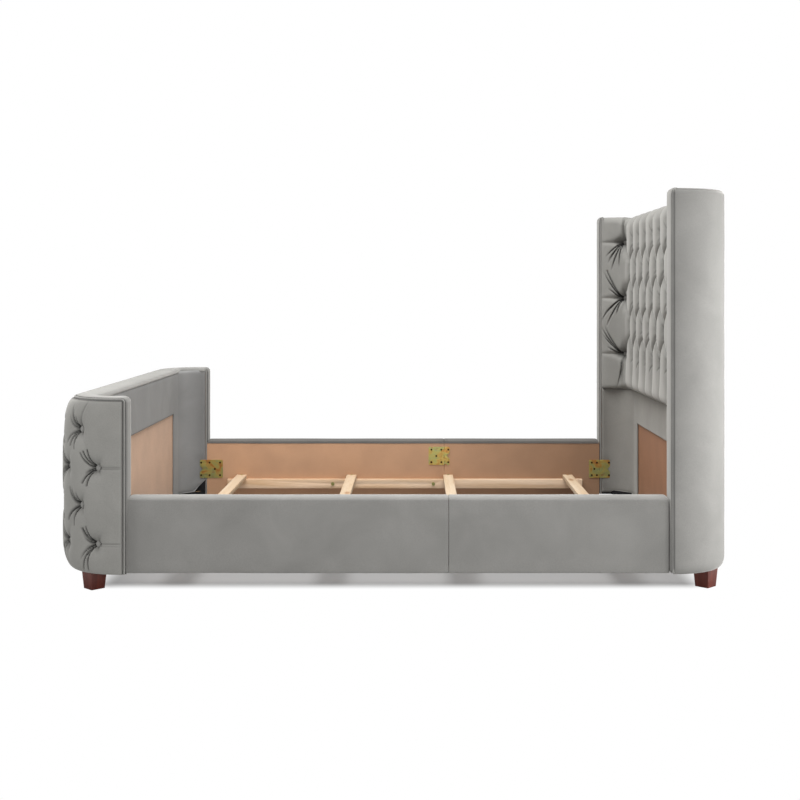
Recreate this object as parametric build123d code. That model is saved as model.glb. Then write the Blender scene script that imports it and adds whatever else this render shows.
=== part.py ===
from build123d import *
from dataclasses import dataclass
from math import cos, pi, radians, sin, sqrt
import os

# A shelter bed: padded headboard and footboard, each U-shaped in plan, joined by two-piece
# side rails that hook on, with pine ledgers and slats between the rails.
# Millimetres. X runs from the footboard to the headboard, Z is up, and the origin lies on
# the floor below the middle of the whole bed.

# Lengths along the bed
rail_span = 1850.0
foot_rail_length = 1095.0
left_foot_rail_extra = 21.5
foot_joint_gap = 0.5
seam_gap = 1.0
head_joint_gap = 3.0

# Half the clear width between the wings and rails, and the rounded inner corners
inner_half = 800.0
inner_radius = 50.0

# Headboard
head_height = 1373.0
head_bottom = 71.0
head_wing_width = 100.0
head_depth = 211.5
head_radius = 200.0
head_back_face = 143.0
head_frame_top_drop = 28.0
head_cover_thick = 12.0

# Footboard, at its top edge; the tufted outside swells beyond this
foot_height = 661.0
foot_bottom = 65.0
foot_wing_width = 93.0
foot_depth = 216.0
foot_radius = 190.0
foot_back_face = 120.0
foot_pad_edge = 35.0
foot_front_swell = 38.5
foot_side_swell = 7.0
foot_swell_start = 20.0

# Cloth, boards and frames of both boards
welt_width = 8.0
soft_gap = 0.3
inner_cover_thick = 5.0
board_thick = 6.0
plate_thick = 18.0
dust_cover_thick = 1.0
post_width = 60.0
post_depth = 44.0
border_corner_radius = 15.0
gusset_leg = 95.0
window_margin = 195.0
head_window_top = 422.0
foot_window_top = 464.0
wing_rib_count = 5
back_post_count = 4
cross_rail_count = 4
cross_rail_height = 90.0
black_corner_length = 56.0
black_corner_height = 54.0

# Diamond tufting of the headboard
head_columns = 10
head_rows = 5
head_top_button_drop = 120.0
head_low_button_rise = 162.0
head_tuft_bottom = 571.0
head_pad_crest = 43.0
head_button_recess = 34.0
head_pleat_recess = 16.0
head_top_roll_depth = 50.0
head_top_roll_height = 60.0
head_bottom_roll_depth = 38.0
head_bottom_roll_height = 40.0

# The headboard's wing pads: thickness where they meet the back pad, and outline across the
# wing on a swollen and on a pleated level
wing_pad_crest = 83.0
wing_swell_place_shares = (0.12, 0.30, 0.45, 0.58, 0.70)
wing_swell_shares = (0.27, 0.43, 0.57, 0.65, 1.0)
wing_pleat_place_shares = (0.12, 0.30, 0.55, 0.72, 0.88)
wing_pleat_shares = (0.15, 0.24, 0.35, 0.46, 0.72)
wing_pad_top_roll = 40.0

# Diamond tufting of the footboard
foot_first_column = 95.5
foot_columns = 14
foot_rows = 4
foot_top_button_drop = 108.0
foot_low_button_rise = 101.0
foot_split_column = 6
foot_button_recess = 30.0
foot_pleat_recess = 14.0
foot_top_roll_height = 124.0
foot_bottom_roll_height = 101.0

# Covered buttons
button_radius = 11.0
button_rim = 2.0
button_dome = 4.0
button_seat_height = 11.0

# Side rails
rail_width = 70.0
rail_bottom = 65.0
rail_top = 321.0
rail_pad_thick = 20.0
rail_top_pad = 8.0
rail_cloth = 2.0
rail_turn_down = 12.0
rail_turn_thick = 1.5
rail_board_thick = 6.0
rail_end_radius = 12.0
rail_edge_radius = 8.0

# Ledgers and slats
ledger_width = 22.0
ledger_height = 42.0
ledger_bottom = 101.0
ledger_foot_setback = 99.5
ledger_head_setback = 86.0
slat_width = 45.0
slat_thick = 19.0
slat_side_gap = 1.0
slat_place_shares = (0.089, 0.3685, 0.6135, 0.917)
centre_leg_width = 38.0

# Legs under the boards
leg_top_width = 62.0
leg_bottom_width = 51.0
head_leg_depth = 139.5
head_leg_inset = 124.0
foot_leg_depth = 125.5
foot_leg_inset = 88.0

# Hook joints
plate_metal = 3.0
plate_height = 85.0
plate_corner = 6.0
long_plate = 75.0
middle_plate = 73.0
short_plate = 50.0
foot_slot_plate = 33.0
middle_slot_plate = 26.0
head_slot_plate = 50.0
slot_notch = 14.0
hook_width = 14.0
hook_reach = 22.0
hook_overlap = 10.0
hook_spread = 17.0
end_joint_height = 189.5
middle_joint_height = 250.5
screw_inset = 13.0
plate_clearance = 0.5

# Fasteners
screw_radius = 2.25
screw_head_radius = 4.5
screw_head_height = 2.5
screw_grip = 16.0
slat_screw_length = 42.0
ledger_bolt_radius = 4.0
ledger_bolt_head_radius = 8.0
ledger_bolt_head_height = 4.0
ledger_bolt_length = 48.0
ledger_bolt_place_shares = (0.321, 0.576)
leg_bolt_radius = 4.0
leg_bolt_bite = 30.0

# Counts and directions that shape the model
quarters = 4
roll_steps = 4

# Worked out from the sizes above
bed_length = rail_span + head_depth + foot_depth + foot_front_swell
head_front = bed_length / 2 - head_depth
foot_front = head_front - rail_span
right_seam = foot_front + foot_rail_length
left_seam = right_seam + left_foot_rail_extra
head_half = inner_half + head_wing_width
foot_half = inner_half + foot_wing_width
rail_half = inner_half + rail_width
window_half = inner_half - window_margin
frame_corner = inner_radius + inner_cover_thick + board_thick
head_pad_base = head_back_face + inner_cover_thick
head_top_row = head_height - head_top_button_drop
head_row_pitch = (head_top_row - head_tuft_bottom - head_low_button_rise) / (head_rows - 1)
foot_top_row = foot_height - foot_top_button_drop
foot_row_pitch = (foot_top_row - foot_bottom - foot_low_button_rise) / (foot_rows - 1)
pad_half = inner_half - wing_pad_crest
head_column_pitch = 2 * pad_half / (head_columns - 1)
head_column_step = head_column_pitch / quarters


@dataclass
class Board:
    """Plan of one U-shaped board, measured outwards from the front edge of its wings."""

    height: float
    bottom: float
    half: float
    depth: float
    radius: float
    back_face: float
    outer_soft: float
    window_top: float

    def plan(self, inset):
        """Half width, depth and corner radius of the outside, drawn in by an inset."""
        return self.half - inset, self.depth - inset, self.radius - inset

    def frame_plan(self):
        return self.plan(self.outer_soft + board_thick)

    def frame_inner(self):
        """Inner faces of the frame: half width between the wings, and depth of the back."""
        skin = inner_cover_thick + board_thick
        return inner_half + skin, self.back_face + skin

    def skin_plan(self, layers):
        """Half width, depth and corner radius of the inside, behind some layers of skin."""
        return inner_half + layers, self.back_face + layers, inner_radius + layers

    def floor(self):
        """Top of the bottom plate."""
        return self.bottom + dust_cover_thick + plate_thick

    def roof(self):
        """Underside of the border."""
        return self.height - welt_width


head = Board(
    head_height, head_bottom, head_half, head_depth, head_radius,
    head_back_face, head_cover_thick, head_window_top,
)
foot = Board(
    foot_height, foot_bottom, foot_half, foot_depth, foot_radius,
    foot_back_face, foot_pad_edge, foot_window_top,
)


def box(x0, x1, y0, y1, z0, z1):
    """A block between two corners."""
    size = (abs(x1 - x0), abs(y1 - y0), abs(z1 - z0))
    return Pos((x0 + x1) / 2, (y0 + y1) / 2, (z0 + z1) / 2) * Box(*size)


def both(shape):
    """The piece on the +Y side with its mirror image on the other side."""
    return [shape, mirror(shape, about=Plane.XZ)]


def prism(face, z0, z1):
    """A plan outline raised between two heights."""
    return extrude(Plane.XY.offset(z0) * face, z1 - z0)


def u_plan(outer, inner, start, corner, gusset=False):
    """Plan of a U-shaped plate, its two inner corners rounded or filled by gussets."""
    half, depth, radius = outer
    gap_half, gap_depth = inner
    plan = Pos(depth / 2, 0) * Rectangle(depth, 2 * half)
    plan = fillet(plan.vertices().sort_by(Axis.X)[-2:], radius)
    gap = Pos(gap_depth / 2, 0) * Rectangle(gap_depth, 2 * gap_half)
    ends = gap.vertices().sort_by(Axis.X)[-2:]
    gap = chamfer(ends, corner) if gusset else fillet(ends, corner)
    return plan - gap - Pos(start / 2, 0) * Rectangle(start, 2 * half)


def corner_strip(outer, thick, start, z0, z1):
    """An upright skin along the +Y wing and round its corner, as far as the straight back."""
    half, depth, radius = outer
    with BuildSketch() as plan:
        with BuildLine():
            Line((start, half), (depth - radius, half))
            RadiusArc((depth - radius, half), (depth, half - radius), radius)
            Line((depth, half - radius), (depth - thick, half - radius))
            RadiusArc(
                (depth - thick, half - radius), (depth - radius, half - thick), thick - radius
            )
            Polyline((depth - radius, half - thick), (start, half - thick), (start, half))
        make_face()
    return prism(plan.sketch, z0, z1)


def plan_depth(board, y, inset):
    """How deep the board is at a distance from the middle, inside its rounded corner."""
    half, depth, radius = board.plan(inset)
    past = max(abs(y) - (half - radius), 0)
    return depth - radius + sqrt(radius ** 2 - past ** 2)


def plan_half(board, x, inset):
    """Half the board's width at a depth from the wings' front, inside its rounded corner."""
    half, depth, radius = board.plan(inset)
    past = max(x - (depth - radius), 0)
    return half - radius + sqrt(radius ** 2 - past ** 2)


def bottom_plate(board):
    """Plywood plate under the board, with gussets over the legs."""
    face = u_plan(
        board.frame_plan(),
        (inner_half + dust_cover_thick, board.back_face + dust_cover_thick),
        welt_width, gusset_leg, True,
    )
    return prism(face, board.bottom + dust_cover_thick, board.floor())


def dust_cover(board):
    """Black cloth under the plate, turned up over its inner edge."""
    face = u_plan(
        board.frame_plan(), (inner_half, board.back_face), welt_width, gusset_leg, True
    )
    cloth = prism(face, board.bottom, board.floor()) - bottom_plate(board)
    return cloth


def front_posts(board, top):
    """Uprights behind the wings' front edges."""
    near, _ = board.frame_inner()
    rear = welt_width + post_depth
    far = min(near + post_width, plan_half(board, rear, board.outer_soft + board_thick))
    return both(box(welt_width, rear, near, far, board.floor(), top))


def head_wing_ribs():
    """Level plywood ribs that give the headboard's wings and corners their curve."""
    face = u_plan(
        head.frame_plan(), head.frame_inner(), welt_width + post_depth, frame_corner
    )
    wing = face & (Pos(0, pad_half + head.half) * Rectangle(2 * head.half, 2 * head.half))
    step = (head.roof() - head.floor()) / wing_rib_count
    levels = [head.roof() - plate_thick - n * step for n in range(wing_rib_count)]
    ribs = [prism(wing, level, level + plate_thick) for level in levels]
    return [piece for rib in ribs for piece in both(rib)]


def head_back_posts():
    """Rear layer of the headboard's lapped frame."""
    middle = (head.frame_inner()[1] + head.frame_plan()[1]) / 2
    reach = pad_half - post_width / 2
    places = [-reach + 2 * reach * n / (back_post_count - 1) for n in range(back_post_count)]
    top = head.height - head_frame_top_drop
    return [
        box(middle, rear_at(head, y), y - post_width / 2, y + post_width / 2, head.floor(), top)
        for y in places
    ]


def rear_at(board, y):
    """Rear face of a post, drawn forward where the board's corner curves away."""
    return plan_depth(board, abs(y) + post_width / 2, board.outer_soft + board_thick)


def head_cross_rails():
    """Front layer of the headboard's lapped frame."""
    _, frame_depth = head.frame_inner()
    middle = (frame_depth + head.frame_plan()[1]) / 2
    top = head.height - head_frame_top_drop
    step = (top - cross_rail_height - head.floor()) / (cross_rail_count - 1)
    return [
        box(frame_depth, middle, -pad_half, pad_half, low, low + cross_rail_height)
        for low in (head.floor() + n * step for n in range(cross_rail_count))
    ]


def foot_uprights():
    """Posts between the footboard's plates: two behind the wings and four in the back."""
    frame_half, frame_depth = foot.frame_inner()
    top = foot.roof() - plate_thick
    reach = frame_half - gusset_leg
    places = [-reach + 2 * reach * n / (back_post_count - 1) for n in range(back_post_count)]
    posts = [
        box(
            frame_depth, rear_at(foot, y), y - post_width / 2, y + post_width / 2,
            foot.floor(), top,
        )
        for y in places
    ]
    return posts + front_posts(foot, top)


def foot_top_plate():
    """Plywood plate under the footboard's border."""
    face = u_plan(foot.frame_plan(), foot.frame_inner(), welt_width, frame_corner)
    return prism(face, foot.roof() - plate_thick, foot.roof())


def inner_board(board, top):
    """Brown fibreboard across the back, bare in the middle."""
    _, depth = board.frame_inner()
    half = inner_half - inner_radius
    return box(depth - board_thick, depth, -half, half, board.floor(), top)


def wing_boards(board):
    """Fibreboard on the inner side of each wing and round its inner corner."""
    outer = board.skin_plan(inner_cover_thick + board_thick)
    return both(corner_strip(outer, board_thick, welt_width, board.floor(), board.roof()))


def corner_boards(board):
    """Bent plywood along the wing and round the corner."""
    outer = board.plan(board.outer_soft)
    low = board.bottom + dust_cover_thick
    return both(corner_strip(outer, board_thick, welt_width, low, board.roof()))


def flat_outer_board(board):
    """Plywood across the straight part of the outside."""
    half, depth, radius = board.plan(board.outer_soft)
    low = board.bottom + dust_cover_thick
    return box(depth - board_thick, depth, radius - half, half - radius, low, board.roof())


def inner_cover(board, top):
    """Velvet over thin foam, with a window that leaves the board bare."""
    near = board.back_face
    far = near + inner_cover_thick
    half = inner_half - inner_radius
    cover = box(near, far, -half, half, board.floor(), top)
    return cover - box(near, far, -window_half, window_half, board.floor(), board.window_top)


def wing_covers(board, top):
    """Velvet over thin foam on the inner side of each wing and round its inner corner."""
    outer = board.skin_plan(inner_cover_thick)
    return both(corner_strip(outer, inner_cover_thick, welt_width, board.floor(), top))


def head_side_cover():
    """Padded velvet outside of the +Y wing, as far as the straight back."""
    strip = corner_strip(head.plan(0), head_cover_thick, welt_width, head.bottom, head.roof())
    top_edge = strip.edges().filter_by(Axis.Y).sort_by(Axis.Z)[-1]
    return fillet(top_edge, border_corner_radius - welt_width)


def head_back_cover():
    """Padded velvet across the straight back."""
    half, depth, radius = head.plan(0)
    return box(
        depth - head_cover_thick, depth, radius - half, half - radius, head.bottom, head.roof()
    )


def front_band(board):
    """Cloth strip up one wing's front edge that turns back over its top."""
    low = inner_half + welt_width
    high = board.half - welt_width
    far = border_corner_radius
    turn = border_corner_radius - welt_width
    with BuildSketch(Plane.XZ.offset(-low)) as side:
        with BuildLine():
            Polyline((welt_width, board.bottom), (0, board.bottom), (0, board.height - far))
            RadiusArc((0, board.height - far), (far, board.height), far)
            Line((far, board.height), (far, board.roof()))
            RadiusArc((far, board.roof()), (welt_width, board.roof() - turn), -turn)
            Line((welt_width, board.roof() - turn), (welt_width, board.bottom))
        make_face()
    return extrude(side.sketch, -(high - low))


def head_borders():
    """Front band and wing top, one strip on each wing."""
    plan = u_plan(
        head.plan(welt_width), (inner_half, head_pad_base), border_corner_radius, inner_radius
    )
    wing = plan & (
        Pos(0, pad_half + soft_gap + head.half) * Rectangle(2 * head.half, 2 * head.half)
    )
    return both(front_band(head) + prism(wing, head.roof(), head.height))


def foot_border():
    """Front bands and the flat top of the whole footboard in one strip."""
    plan = u_plan(
        foot.plan(welt_width), (inner_half, foot.back_face), border_corner_radius, inner_radius
    )
    border = prism(plan, foot.roof(), foot.height)
    for band in both(front_band(foot)):
        border += band
    return border


def outer_welt(board):
    """Cord up one wing, along the outer top edge and down the other wing."""
    middle = welt_width / 2
    half = board.half - middle
    depth = board.depth - middle
    top = board.height - middle
    corner = border_corner_radius - middle
    route = FilletPolyline(
        (middle, half, board.bottom), (middle, half, top), (depth, half, top),
        (depth, -half, top), (middle, -half, top), (middle, -half, board.bottom),
        radius=(corner, board.radius - middle, board.radius - middle, corner),
    )
    section = Plane(origin=route @ 0, z_dir=route % 0) * Circle(middle - soft_gap / 2)
    return sweep(section, path=route)


def inner_welts(board):
    """Cords up the inner edges of the wings' front bands."""
    middle = welt_width / 2
    length = board.roof() - board.bottom
    cord = Pos(middle, inner_half + middle, board.bottom + length / 2) * Cylinder(
        middle - soft_gap / 2, length
    )
    return both(cord)


def tuft_recess(column, level, first_kind, button, pleat):
    """Depth of the tufted face below its crest at a point of the quilting's lattice.

    Columns count in quarters of the pitch, levels in half rows from the top row.
    """
    row_kind = (first_kind + level) % quarters
    if level % 2:
        return pleat if column % 2 else pleat / 2
    if column % quarters == row_kind:
        return button
    return pleat / 2 if column % 2 else 0


def end_pleat(column, kind, pleat):
    """Depth of the upright pleats that leave the top and bottom rows."""
    if column % quarters == kind % quarters:
        return pleat
    return pleat / 4 if column % 2 else 0


def tufted_face(column, rows, kinds, recesses, crest, top_roll, bottom_roll):
    """Points (out from the board, height) down a buttoned pad at one column.

    A roll is its centre's reach from the board and height, then its two half axes.
    """
    top_row, row_pitch, row_count = rows
    first_kind, last_kind = kinds
    button, pleat = recesses
    points = []
    out, height, deep, tall = top_roll
    for step in range(roll_steps, 0, -1):
        turn = radians(90 * step / roll_steps)
        dip = end_pleat(column, first_kind, pleat) * cos(turn)
        points.append((out + (deep - dip) * cos(turn), height + tall * sin(turn)))
    for level in range(2 * row_count - 1):
        dip = tuft_recess(column, level, first_kind, button, pleat)
        points.append((crest - dip, top_row - level * row_pitch / 2))
    out, height, deep, tall = bottom_roll
    for step in range(1, roll_steps + 1):
        turn = radians(90 * step / roll_steps)
        dip = end_pleat(column, last_kind, pleat) * cos(turn)
        points.append((out + (deep - dip) * cos(turn), height - tall * sin(turn)))
    return points


def ruled(sections):
    """A solid ruled from one outline to the next."""
    return Solid.make_loft(
        [Wire.make_polygon(points, close=True) for points in sections], ruled=True
    )


def head_pad_section(column):
    """Outline of the headboard's back pad at one column, rolled over the frame's top."""
    y = column * head_column_step - pad_half
    frame_top = head.height - head_frame_top_drop + soft_gap
    rear_low = plan_depth(head, y, head.outer_soft + board_thick + soft_gap)
    rear_top = plan_depth(head, y, welt_width + soft_gap)
    ledge = head.roof() + soft_gap
    face = tufted_face(
        column, (head_top_row, head_row_pitch, head_rows), (0, 0),
        (head_button_recess, head_pleat_recess), head_pad_crest,
        (
            head_pad_crest - head_top_roll_depth, head.height - head_top_roll_height,
            head_top_roll_depth, head_top_roll_height,
        ),
        (
            head_pad_crest - head_bottom_roll_depth,
            head_tuft_bottom + head_bottom_roll_height,
            head_bottom_roll_depth, head_bottom_roll_height,
        ),
    )
    front = [(head_pad_base - soft_gap - out, height) for out, height in face]
    back = [
        (head_pad_base - soft_gap, head_tuft_bottom), (head_pad_base - soft_gap, frame_top),
        (rear_low, frame_top), (rear_low, ledge), (rear_top, ledge), (rear_top, head.height),
    ]
    return [(x, y, z) for x, z in back + front]


def head_back_pad():
    """Diamond-tufted pad on the headboard's back."""
    last = (head_columns - 1) * quarters
    return ruled([head_pad_section(column) for column in range(last + 1)])


def wing_pad_section(places, shares, level, drawn):
    """Plan outline of a wing pad at one level; drawn is how far its face is let in."""
    base = inner_half + inner_cover_thick - soft_gap
    start = welt_width + soft_gap
    rear = head_pad_base - soft_gap
    reach = wing_pad_crest - soft_gap
    turn_half = inner_half - inner_radius
    turn_radius = inner_radius + inner_cover_thick - soft_gap
    turns = [radians(90 * n / roll_steps) for n in range(1, roll_steps + 1)]
    back = [
        (rear - turn_radius * (1 - cos(t)), turn_half + turn_radius * sin(t)) for t in turns
    ]
    face = [
        (start + (rear - start) * place, inner_half - (reach - drawn) * share)
        for place, share in zip(places, shares)
    ]
    outline = [(start, inner_half), *face, (rear, inner_half - reach), *back, (start, base)]
    return [(x, y, level) for x, y in outline]


def head_wing_pad():
    """Pleated pad on the inner side of the +Y wing, between its border and the corner."""
    pleats = [head_top_row - n * 2 * head_row_pitch for n in range((head_rows + 1) // 2)]
    swells = [z - head_row_pitch for z in pleats[:-1]]
    top = head.roof() - soft_gap
    levels = [(z, True) for z in pleats] + [(z, False) for z in swells]
    levels += [
        (top - wing_pad_top_roll, False),
        (head_tuft_bottom + head_bottom_roll_height, False),
    ]
    sections = []
    for z, pleated in sorted(levels):
        places = wing_pleat_place_shares if pleated else wing_swell_place_shares
        shares = wing_pleat_shares if pleated else wing_swell_shares
        sections.append(wing_pad_section(places, shares, z, 0))
    ends = [
        wing_pad_section(wing_swell_place_shares, wing_swell_shares, z, wing_pad_crest / 2)
        for z in (head_tuft_bottom + soft_gap, top)
    ]
    return ruled([ends[0], *sections, ends[1]])


def foot_route(distance):
    """Point, outward direction and corner share on the footboard's outer top edge.

    The distance runs from the +Y wing's front edge; past the corner lies the straight back.
    """
    side = foot.depth - foot.radius
    arc = foot.radius * pi / 2
    centre_half = foot.half - foot.radius
    if distance <= side:
        return (distance, foot.half), (0, 1), 0
    if distance < side + arc:
        turn = (distance - side) / foot.radius
        out = (sin(turn), cos(turn))
        point = (side + foot.radius * out[0], centre_half + foot.radius * out[1])
        return point, out, out[0] ** 2
    return (foot.depth, centre_half - (distance - side - arc)), (1, 0), 1


def foot_edge_length():
    """Length of the footboard's outer top edge from one wing's front to the other's."""
    side = foot.depth - foot.radius
    return 2 * side + pi * foot.radius + 2 * (foot.half - foot.radius)


def foot_column_distance(column):
    """Distance of a tufting column, in quarters of the pitch, along the edge."""
    tufted = foot_edge_length() - 2 * foot_first_column
    return foot_first_column + tufted * column / (foot_columns * quarters)


def foot_swell(distance):
    """How far the tufted outside stands beyond the top edge, and the direction of that."""
    _, _, share = foot_route(distance)
    start = min(distance / foot_swell_start, 1)
    return foot_side_swell * start + (foot_front_swell - foot_side_swell) * share


def foot_pad_section(distance, column, easing=1):
    """Upright outline of the footboard's outer pad at a distance along the edge."""
    (x, y), (out_x, out_y), share = foot_route(distance)
    swell = foot_swell(distance)
    low = foot.bottom
    top = foot.roof() - soft_gap
    recesses = (foot_button_recess * easing, foot_pleat_recess * easing)
    face = tufted_face(
        column, (foot_top_row, foot_row_pitch, foot_rows), (2, 2 + 2 * (foot_rows - 1)),
        recesses, foot_pad_edge + swell,
        (foot_pad_edge, top - foot_top_roll_height, swell, foot_top_roll_height),
        (foot_pad_edge, low + foot_bottom_roll_height, swell, foot_bottom_roll_height),
    )
    lift = chord_clearance if 0 < share < 1 else soft_gap
    outline = [(lift, low), (lift, top)] + face
    return [
        (x + out_x * (out - foot_pad_edge), y + out_y * (out - foot_pad_edge), z)
        for out, z in outline
    ]


def chord_sag(step, radius):
    """How far a straight chord lies inside its arc."""
    return radius - sqrt(radius ** 2 - (step / 2) ** 2)


column_step = foot_column_distance(1) - foot_column_distance(0)
chord_clearance = soft_gap + chord_sag(column_step, foot_radius - foot_pad_edge)


def foot_side_pad():
    """Tufted pad on the +Y wing's outside and round the corner."""
    plain = [
        foot_pad_section(distance, 1, 0)
        for distance in (welt_width + soft_gap, foot_swell_start)
    ]
    half_way = foot_pad_section((foot_swell_start + foot_first_column) / 2, 0, 1 / 2)
    columns = [
        foot_pad_section(foot_column_distance(column), column)
        for column in range(foot_split_column + 1)
    ]
    return ruled([*plain, half_way, *columns])


def foot_front_pad():
    """Tufted pad across the footboard's outside, between the corners."""
    first = foot_split_column
    last = foot_columns * quarters - foot_split_column
    sections = []
    for column in range(first, last + 1):
        distance = foot_column_distance(column)
        edge = soft_gap * ((column == first) - (column == last))
        sections.append(foot_pad_section(distance + edge, column))
    return ruled(sections)


def button():
    """A covered button with its tip at the origin and its dome towards +Z."""
    rim = button_seat_height + button_rim
    cap_radius = (button_radius ** 2 + button_dome ** 2) / (2 * button_dome)
    with BuildSketch(Plane.XZ) as profile:
        with BuildLine():
            Polyline((0, 0), (button_radius, button_seat_height), (button_radius, rim))
            RadiusArc((button_radius, rim), (0, rim + button_dome), -cap_radius)
            Line((0, rim + button_dome), (0, 0))
        make_face()
    return revolve(profile.sketch, Axis.Z)


def button_at(tip, out):
    """A button whose tip lies at a point, facing a level direction."""
    return Plane(origin=tip, x_dir=(-out[1], out[0], 0), z_dir=(out[0], out[1], 0)) * button()


def head_buttons():
    """Buttons in the headboard's staggered rows."""
    tip_x = head_pad_base - head_pad_crest + head_button_recess - 2 * soft_gap
    buttons = []
    for row in range(head_rows):
        shift = row % 2
        for n in range(head_columns - shift):
            y = (n + shift / 2) * head_column_pitch - pad_half
            tip = (tip_x, y, head_top_row - row * head_row_pitch)
            buttons.append(button_at(tip, (-1, 0)))
    return buttons


def foot_buttons():
    """Buttons in the footboard's staggered rows, round the corners as well."""
    buttons = []
    middle = foot_columns * quarters // 2
    for row in range(foot_rows):
        first = 2 if row % 2 == 0 else 0
        z = foot_top_row - row * foot_row_pitch
        for column in range(first, middle + 1, quarters):
            distance = foot_column_distance(column)
            (x, y), out, _ = foot_route(distance)
            reach = foot_swell(distance) - foot_button_recess + soft_gap
            tip = (x + out[0] * reach, y + out[1] * reach, z)
            near = button_at(tip, out)
            buttons += [near] if column == middle else both(near)
    return buttons


def rail_ends(foot_part, seam):
    """Both ends along X of the foot rail or the head rail, which meet at a seam."""
    if foot_part:
        return foot_front + foot_joint_gap, seam - seam_gap / 2
    return seam + seam_gap / 2, head_front - head_joint_gap


def rail_cover(foot_part, seam):
    """Padded velvet outside of a +Y rail, turned over its top, down inside and below."""
    x0, x1 = rail_ends(foot_part, seam)
    core_half = rail_half - rail_pad_thick
    pad_top = rail_top - rail_top_pad
    inside = inner_half - rail_turn_thick
    points = [
        (inner_half, rail_bottom), (rail_half, rail_bottom), (rail_half, rail_top),
        (inside, rail_top), (inside, rail_top - rail_turn_down),
        (inner_half, rail_top - rail_turn_down), (inner_half, pad_top), (core_half, pad_top),
        (core_half, rail_bottom + rail_cloth), (inner_half, rail_bottom + rail_cloth),
    ]
    section = Plane.YZ.offset(x0) * make_face(Polyline(*points, close=True))
    cover = extrude(section, x1 - x0)
    top_edge = cover.edges().filter_by(Axis.X).group_by(Axis.Z)[-1].sort_by(Axis.Y)[-1]
    return rounded_end(fillet(top_edge, rail_edge_radius), foot_part, seam)


def rounded_end(piece, foot_part, seam):
    """A rail piece with the top corner beside its board rounded off."""
    x0, x1 = rail_ends(foot_part, seam)
    return piece - (end_round(x0, 1) if foot_part else end_round(x1, -1))


def end_round(joint_x, inward):
    """Waste above the rounded top corner at a rail's end."""
    corner = box(
        joint_x, joint_x + inward * rail_end_radius, inner_half - 2 * rail_turn_thick,
        rail_half + rail_turn_thick, rail_top - rail_end_radius, rail_top + rail_turn_thick,
    )
    axis = Pos(
        joint_x + inward * rail_end_radius, (inner_half + rail_half) / 2,
        rail_top - rail_end_radius,
    )
    round_part = axis * Rot(90, 0, 0) * Cylinder(rail_end_radius, 2 * rail_half)
    return corner - round_part


def rail_board(foot_part, seam):
    """Bare fibreboard on the inner side of a +Y rail."""
    x0, x1 = rail_ends(foot_part, seam)
    board = box(
        x0, x1, inner_half, inner_half + rail_board_thick, rail_bottom + rail_cloth,
        rail_top - rail_top_pad,
    )
    return rounded_end(board, foot_part, seam)


def rail_core(foot_part, seam):
    """Timber inside a +Y rail."""
    x0, x1 = rail_ends(foot_part, seam)
    core = box(
        x0, x1, inner_half + rail_board_thick, rail_half - rail_pad_thick,
        rail_bottom + rail_cloth, rail_top - rail_top_pad,
    )
    return rounded_end(core, foot_part, seam)


def ledger(foot_part, seam):
    """Pine strip along a +Y rail that carries the slats."""
    x0, x1 = rail_ends(foot_part, seam)
    if foot_part:
        x0 = foot_front + ledger_foot_setback
    else:
        x1 = head_front - ledger_head_setback
    return box(
        x0, x1, inner_half - ledger_width, inner_half, ledger_bottom,
        ledger_bottom + ledger_height,
    )


def slat_places():
    """Middle of each slat along X."""
    return [foot_front + rail_span * share for share in slat_place_shares]


def slat(x):
    """Pine slat from rail to rail."""
    reach = inner_half - slat_side_gap
    low = ledger_bottom + ledger_height
    return box(
        x - slat_width / 2, x + slat_width / 2, -reach, reach, low, low + slat_thick
    )


def centre_leg(x):
    """Pine prop under the middle of a slat."""
    half = centre_leg_width / 2
    return box(x - half, x + half, -half, half, 0, ledger_bottom + ledger_height)


def leg(height):
    """Tapered square leg, turned an eighth."""
    bottom = Rot(0, 0, 45) * Rectangle(leg_bottom_width, leg_bottom_width)
    top = Pos(0, 0, height) * Rot(0, 0, 45) * Rectangle(leg_top_width, leg_top_width)
    return loft([bottom, top])


def leg_pair(x, half, height):
    return both(Pos(x, half, 0) * leg(height))


def leg_bolts():
    """Bolts from the legs up into the bottom plates."""
    bolts = []
    for board, x, half in leg_places():
        low = board.bottom - leg_bolt_bite
        length = board.floor() - low
        bolt = Pos(x, half, low + length / 2) * Cylinder(leg_bolt_radius, length)
        bolts += both(bolt)
    return bolts


def leg_places():
    return (
        (head, head_front + head_leg_depth, head_half - head_leg_inset),
        (foot, foot_front - foot_leg_depth, foot_half - foot_leg_inset),
    )


def joints(seam):
    """Where each hook joint lies: its X, height, plate lengths and the hook plate's side."""
    return (
        (foot_front, end_joint_height, long_plate, foot_slot_plate, 1),
        (seam, middle_joint_height, middle_plate, middle_slot_plate, -1),
        (head_front - head_joint_gap / 2, end_joint_height, short_plate, head_slot_plate, -1),
    )


def screw_places(length, slotted):
    """Screws of one plate: out from the joint and up from its middle."""
    rise = plate_height / 2 - screw_inset
    if slotted:
        return [(length - screw_inset / 2, rise), (length - screw_inset / 2, -rise)]
    near, far = screw_inset, length - screw_inset
    corners = [(near, rise), (near, -rise), (far, rise), (far, -rise)]
    return corners + [((near + far) / 2, 0)]


def plate_outline(length, slotted):
    """Plate seen square on; a slotted one is notched between two lobes."""
    half = plate_height / 2
    start = plate_clearance
    if slotted:
        points = [
            (start, -half), (length, -half), (length, -slot_notch),
            (length - slot_notch, 0), (length, slot_notch), (length, half), (start, half),
        ]
    else:
        points = [(start, -half), (length, -half), (length, half), (start, half)]
    face = make_face(Polyline(*points, close=True))
    outer = face.vertices().sort_by(Axis.X)[-2:] if not slotted else [
        corner for corner in face.vertices() if abs(corner.Y) == half and corner.X == length
    ]
    return fillet(outer, plate_corner)


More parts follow.
